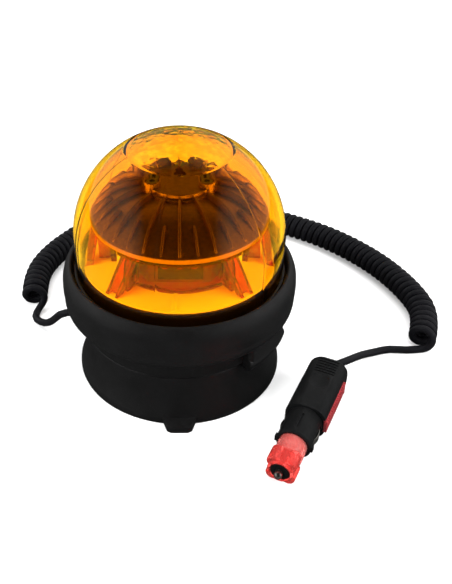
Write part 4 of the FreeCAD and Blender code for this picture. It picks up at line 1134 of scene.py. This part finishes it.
class BEACON_OT_heat_sink(bpy.types.Operator):
    """Ribbed black heat sink and its screws"""
    bl_idname = "beacon.heat_sink"
    bl_label = "Heat sink"

    def execute(self, context):
        sink = context.scene.beacon_sink
        shapes = [self.umbrella(sink), self.core(sink)] + self.ribs(sink) + self.hub_parts(sink)
        dress(merged("ribbed_sink", shapes), "heat_sink")
        dress(merged("hub_screws", self.screws(sink)), "sink_screws")
        return {"FINISHED"}

    @staticmethod
    def top(sink, radius):
        """Height of the umbrella between its ribs."""
        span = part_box("heat_sink")[1].x - sink.hub_radius
        return sink.rim_level + sink.rim_height + sink.rise * (1 - ((radius - sink.hub_radius) / span) ** 2)

    @staticmethod
    def hub_top(sink):
        return sink.rim_level + sink.rim_height + sink.rise + sink.hub_height

    def umbrella(self, sink):
        """Umbrella, rim, hub step and hub, with the hole and the rear screw's pocket in the hub."""
        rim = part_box("heat_sink")[1].x
        low = sink.rim_level
        rim_top = low + sink.rim_height
        hub = self.hub_top(sink)
        foot = hub - sink.hub_height
        fine = 0.3 * MM
        soft = 0.5 * MM
        step = sink.hub_radius + sink.step
        section = [(rim - sink.thickness, low), (rim - fine, low), (rim, low + fine), (rim, rim_top - fine)]
        section += [(radius, self.top(sink, radius)) for radius in spaced(rim - 2 * fine, step, 22)]
        section += [(step, foot + 1.1 * MM), (step - fine, foot + 1.4 * MM),
                    (sink.hub_radius, foot + 1.5 * MM), (sink.hub_radius, hub - soft),
                    (sink.hub_radius - 0.3 * soft, hub - 0.3 * soft),
                    (sink.hub_radius - soft, hub), (0.0, hub), (0.0, foot - sink.thickness),
                    (sink.hub_radius, foot - sink.thickness)]
        under = spaced(sink.hub_radius, rim - sink.thickness - 1.0 * MM, 12)[1:]
        section += [(radius, self.top(sink, radius) - sink.thickness) for radius in under]
        shell = lathe("umbrella", section, evenly(144))
        above = hub + 5.0 * MM
        hole = shifted(round_bar("hole", 3.3 * MM, hub - 3.0 * MM, above), (0, 6.6 * MM, 0))
        pocket = shifted(round_bar("pocket", sink.head_radius + HEAD_AIR, hub - sink.pocket, above),
                         (0, sink.screw_circle, 0))
        return cut_from(shell, [hole, pocket])

    @staticmethod
    def core(sink):
        """Hexagonal tube that carries the lamp boards."""
        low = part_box("heat_sink")[0].z
        wall = 4.5 * MM
        points = []
        for flats in (sink.core, sink.core - wall):
            for height in (low, sink.rim_level + 13.5 * MM):
                reach = flats * 2 / math.sqrt(3)
                points += [(reach * math.cos(turn), reach * math.sin(turn), height) for turn in evenly(6)]
        faces = []
        for here in range(6):
            after = (here + 1) % 6
            faces += [(here, after, 6 + after, 6 + here), (12 + after, 12 + here, 18 + here, 18 + after),
                      (after, here, 12 + here, 12 + after), (6 + here, 6 + after, 18 + after, 18 + here)]
        piece = mesh_from("core", points, faces, False)
        outward(piece)
        return softened(piece, 0.4 * MM)

    def rib(self, name, sink, start):
        """One rib at the front: a rounded nose, a rounded back and a little draft."""
        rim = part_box("heat_sink")[1].x - 1.0 * MM
        half = sink.rib_thickness / 2
        sunk = 1.0 * MM
        tail_length = 9.0 * MM
        stations = 30
        points = []
        for share in spaced(0.0, 1.0, stations):
            radius = start + (rim - start) * share ** 1.4
            nose = min(1.0, (radius - start) / sink.rib_rise)
            tail = min(1.0, (rim - radius) / tail_length)
            rise = sink.rib_rise * math.sqrt(1 - (1 - nose) ** 2) * (1 - (1 - tail) ** 2)
            floor = self.top(sink, radius)
            back = floor + max(0.35 * MM, rise)
            one_side = [(1.25, floor - sunk), (0.95, back - 0.9 * half), (0.62, back - 0.25 * half)]
            across = [(-side, height) for side, height in one_side] + [(0.0, back)] + one_side[::-1]
            points += [(side * half, -radius, max(height, floor - sunk)) for side, height in across]
        piece = mesh_from(name, points, bar_faces(stations, 7))
        outward(piece)
        crease_by_angle(piece.data, 60.0)
        coat(piece, "black_metal")
        return piece

    def ribs(self, sink):
        """Ring of long ribs from the hub, with a short rib between each two of them."""
        turn = 2 * TAU / sink.ribs
        long_rib = self.rib("long_ribs", sink, sink.hub_radius + 0.6 * MM)
        short_rib = self.rib("short_ribs", sink, sink.short_start)
        return [repeated(long_rib, sink.ribs // 2, turn=turn),
                repeated(short_rib, sink.ribs // 2, first=turn / 2, turn=turn)]

    def hub_parts(self, sink):
        """Two bosses with their pockets, two low walls and a pin on the hub."""
        hub = self.hub_top(sink)
        top = hub + sink.boss_height
        inner = sink.head_radius + HEAD_AIR
        outer = sink.boss_radius
        soft = 0.35 * MM
        fine = 0.2 * MM
        section = [(0.0, hub - 5 * MM), (outer, hub - 5 * MM), (outer, top - soft),
                   (outer - 0.3 * soft, top - 0.3 * soft), (outer - soft, top), (inner + fine, top),
                   (inner, top - fine), (inner, top - sink.pocket), (0.0, top - sink.pocket)]
        boss = lathe("bosses", section, evenly(40))
        crease_by_angle(boss.data, SHADE_EDGE)
        shifted(boss, (0, -sink.screw_circle, 0))
        coat(boss, "black_metal")
        repeated(boss, 2, first=TAU / 6, turn=-TAU / 3)
        sunk = hub - 0.5 * MM
        wall = arc_block("walls", sink.hub_radius - 3.4 * MM, sink.hub_radius, sunk, hub + 3.0 * MM,
                         math.radians(15.0), 0.5 * MM)
        coat(wall, "black_metal")
        repeated(wall, 2, first=math.radians(148.0), turn=math.radians(64.0))
        pin = shifted(round_bar("pin", 1.1 * MM, sunk, hub + 4.6 * MM, 0.4 * MM), (0, 12.0 * MM, 0))
        return [boss, wall, pin]

    def screws(self, sink):
        """Three like screws with hexagon sockets. The rear one sits lower."""
        hub = self.hub_top(sink)
        rear_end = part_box("sink_screws")[0].z
        rows = []
        for name, lift, count, first in (("front_screws", sink.boss_height, 2, TAU / 6),
                                         ("rear_screw", 0.0, 1, TAU / 2)):
            seat = hub + lift - sink.pocket
            head = round_bar("head", sink.head_radius, seat, seat + 2.2 * MM, 0.35 * MM)
            socket = round_bar("socket", 1.7 * MM, seat + 0.8 * MM, seat + 5 * MM, 0.1 * MM, 6)
            cut_from(head, [socket])
            shank = round_bar("shank", 2.0 * MM, rear_end + lift, seat + 0.4 * MM)
            screw = merged(name, [head, shank])
            coat(screw, "zinc_steel")
            shifted(screw, (0, -sink.screw_circle, 0))
            rows.append(repeated(screw, count, first=first, turn=-TAU / 3))
        return rows


class BEACON_OT_plug(bpy.types.Operator):
    """Plug body, red strip, barrel, sleeve and contacts"""
    bl_idname = "beacon.plug"
    bl_label = "Plug"

    def execute(self, context):
        rounded_pieces([
            ("plug_shell_upper", "plug_top", 0.0004),
            ("plug_shell_lower", "plug_bottom", 0.0004),
            ("plug_barrel", "front_barrel", 0.0003),
            ("din_nose", "slim_nose", 0.0003),
            ("adapter_sleeve", "red_sleeve", 0.0005),
            ("centre_contact", "tip_contact", 0.0002),
            ("side_contact_left", "left_contact", 0.00015),
            ("side_contact_right", "right_contact", 0.00015),
            ("plug_screw", "body_screw", 0.0002),
        ])
        self.strip(context.scene.beacon_strip)
        keep_solid("contact_spring", "fuse", "fuse_contact")
        return {"FINISHED"}

    @staticmethod
    def strip(strip):
        """Red strip along the plug's side: a slab, two ends and a row of ribs."""
        half = strip.height / 2
        base = strip.outer - strip.rib_depth
        sunk = base - 0.5 * MM
        end = 1.4 * MM
        slab = laid(block("slab", (strip.rear, strip.inner, -half), (strip.front, base, half), 0.3 * MM))
        ends = laid(block("ends", (strip.rear, sunk, -half), (strip.rear + end, strip.outer, half), 0.5 * MM))
        coat(ends, "red_plastic")
        span = strip.front - strip.rear - end
        repeated(ends, 2, step=PLUG_ALONG * span)
        pitch = span / (strip.ribs + 1)
        place = strip.rear + end / 2 + pitch
        width = pitch * 0.3
        inset = half - 0.2 * MM
        low = (place - width, sunk, -inset)
        high = (place + width, strip.outer - 0.1 * MM, inset)
        rib = laid(block("ribs", low, high, 0.25 * MM))
        coat(rib, "red_plastic")
        repeated(rib, strip.ribs, step=PLUG_ALONG * pitch)
        dress(merged("side_strip", [slab, ends, rib]), "plug_side_strip")


class BEACON_PT_panel(bpy.types.Panel):
    """Lists the operators in the sidebar"""
    bl_idname = "BEACON_PT_panel"
    bl_label = "Amber Beacon"
    bl_space_type = "VIEW_3D"
    bl_region_type = "UI"
    bl_category = "Beacon"

    def draw(self, context):
        for operator in OPERATORS:
            self.layout.operator(operator.bl_idname)


SETTINGS = {
    "beacon_stage": BeaconStageSettings,
    "beacon_lens": BeaconLensSettings,
    "beacon_sink": BeaconSinkSettings,
    "beacon_strip": BeaconStripSettings,
    "beacon_lamps": BeaconLampSettings,
    "beacon_lead": BeaconLeadSettings,
    "beacon_finish": BeaconFinishSettings,
}
OPERATORS = [
    BEACON_OT_stage,
    BEACON_OT_lead,
    BEACON_OT_foot,
    BEACON_OT_base,
    BEACON_OT_lens,
    BEACON_OT_light_head,
    BEACON_OT_heat_sink,
    BEACON_OT_plug,
]


def register():
    for part in [*SETTINGS.values(), *OPERATORS, BEACON_PT_panel]:
        bpy.utils.register_class(part)
    for name, settings in SETTINGS.items():
        setattr(bpy.types.Scene, name, bpy.props.PointerProperty(type=settings))


def unregister():
    for name in SETTINGS:
        delattr(bpy.types.Scene, name)
    for part in reversed([*SETTINGS.values(), *OPERATORS, BEACON_PT_panel]):
        bpy.utils.unregister_class(part)


def main():
    register()
    for operator in OPERATORS:
        group, name = operator.bl_idname.split(".")
        getattr(getattr(bpy.ops, group), name)()
    bpy.context.view_layer.update()


if __name__ == "__main__":
    main()
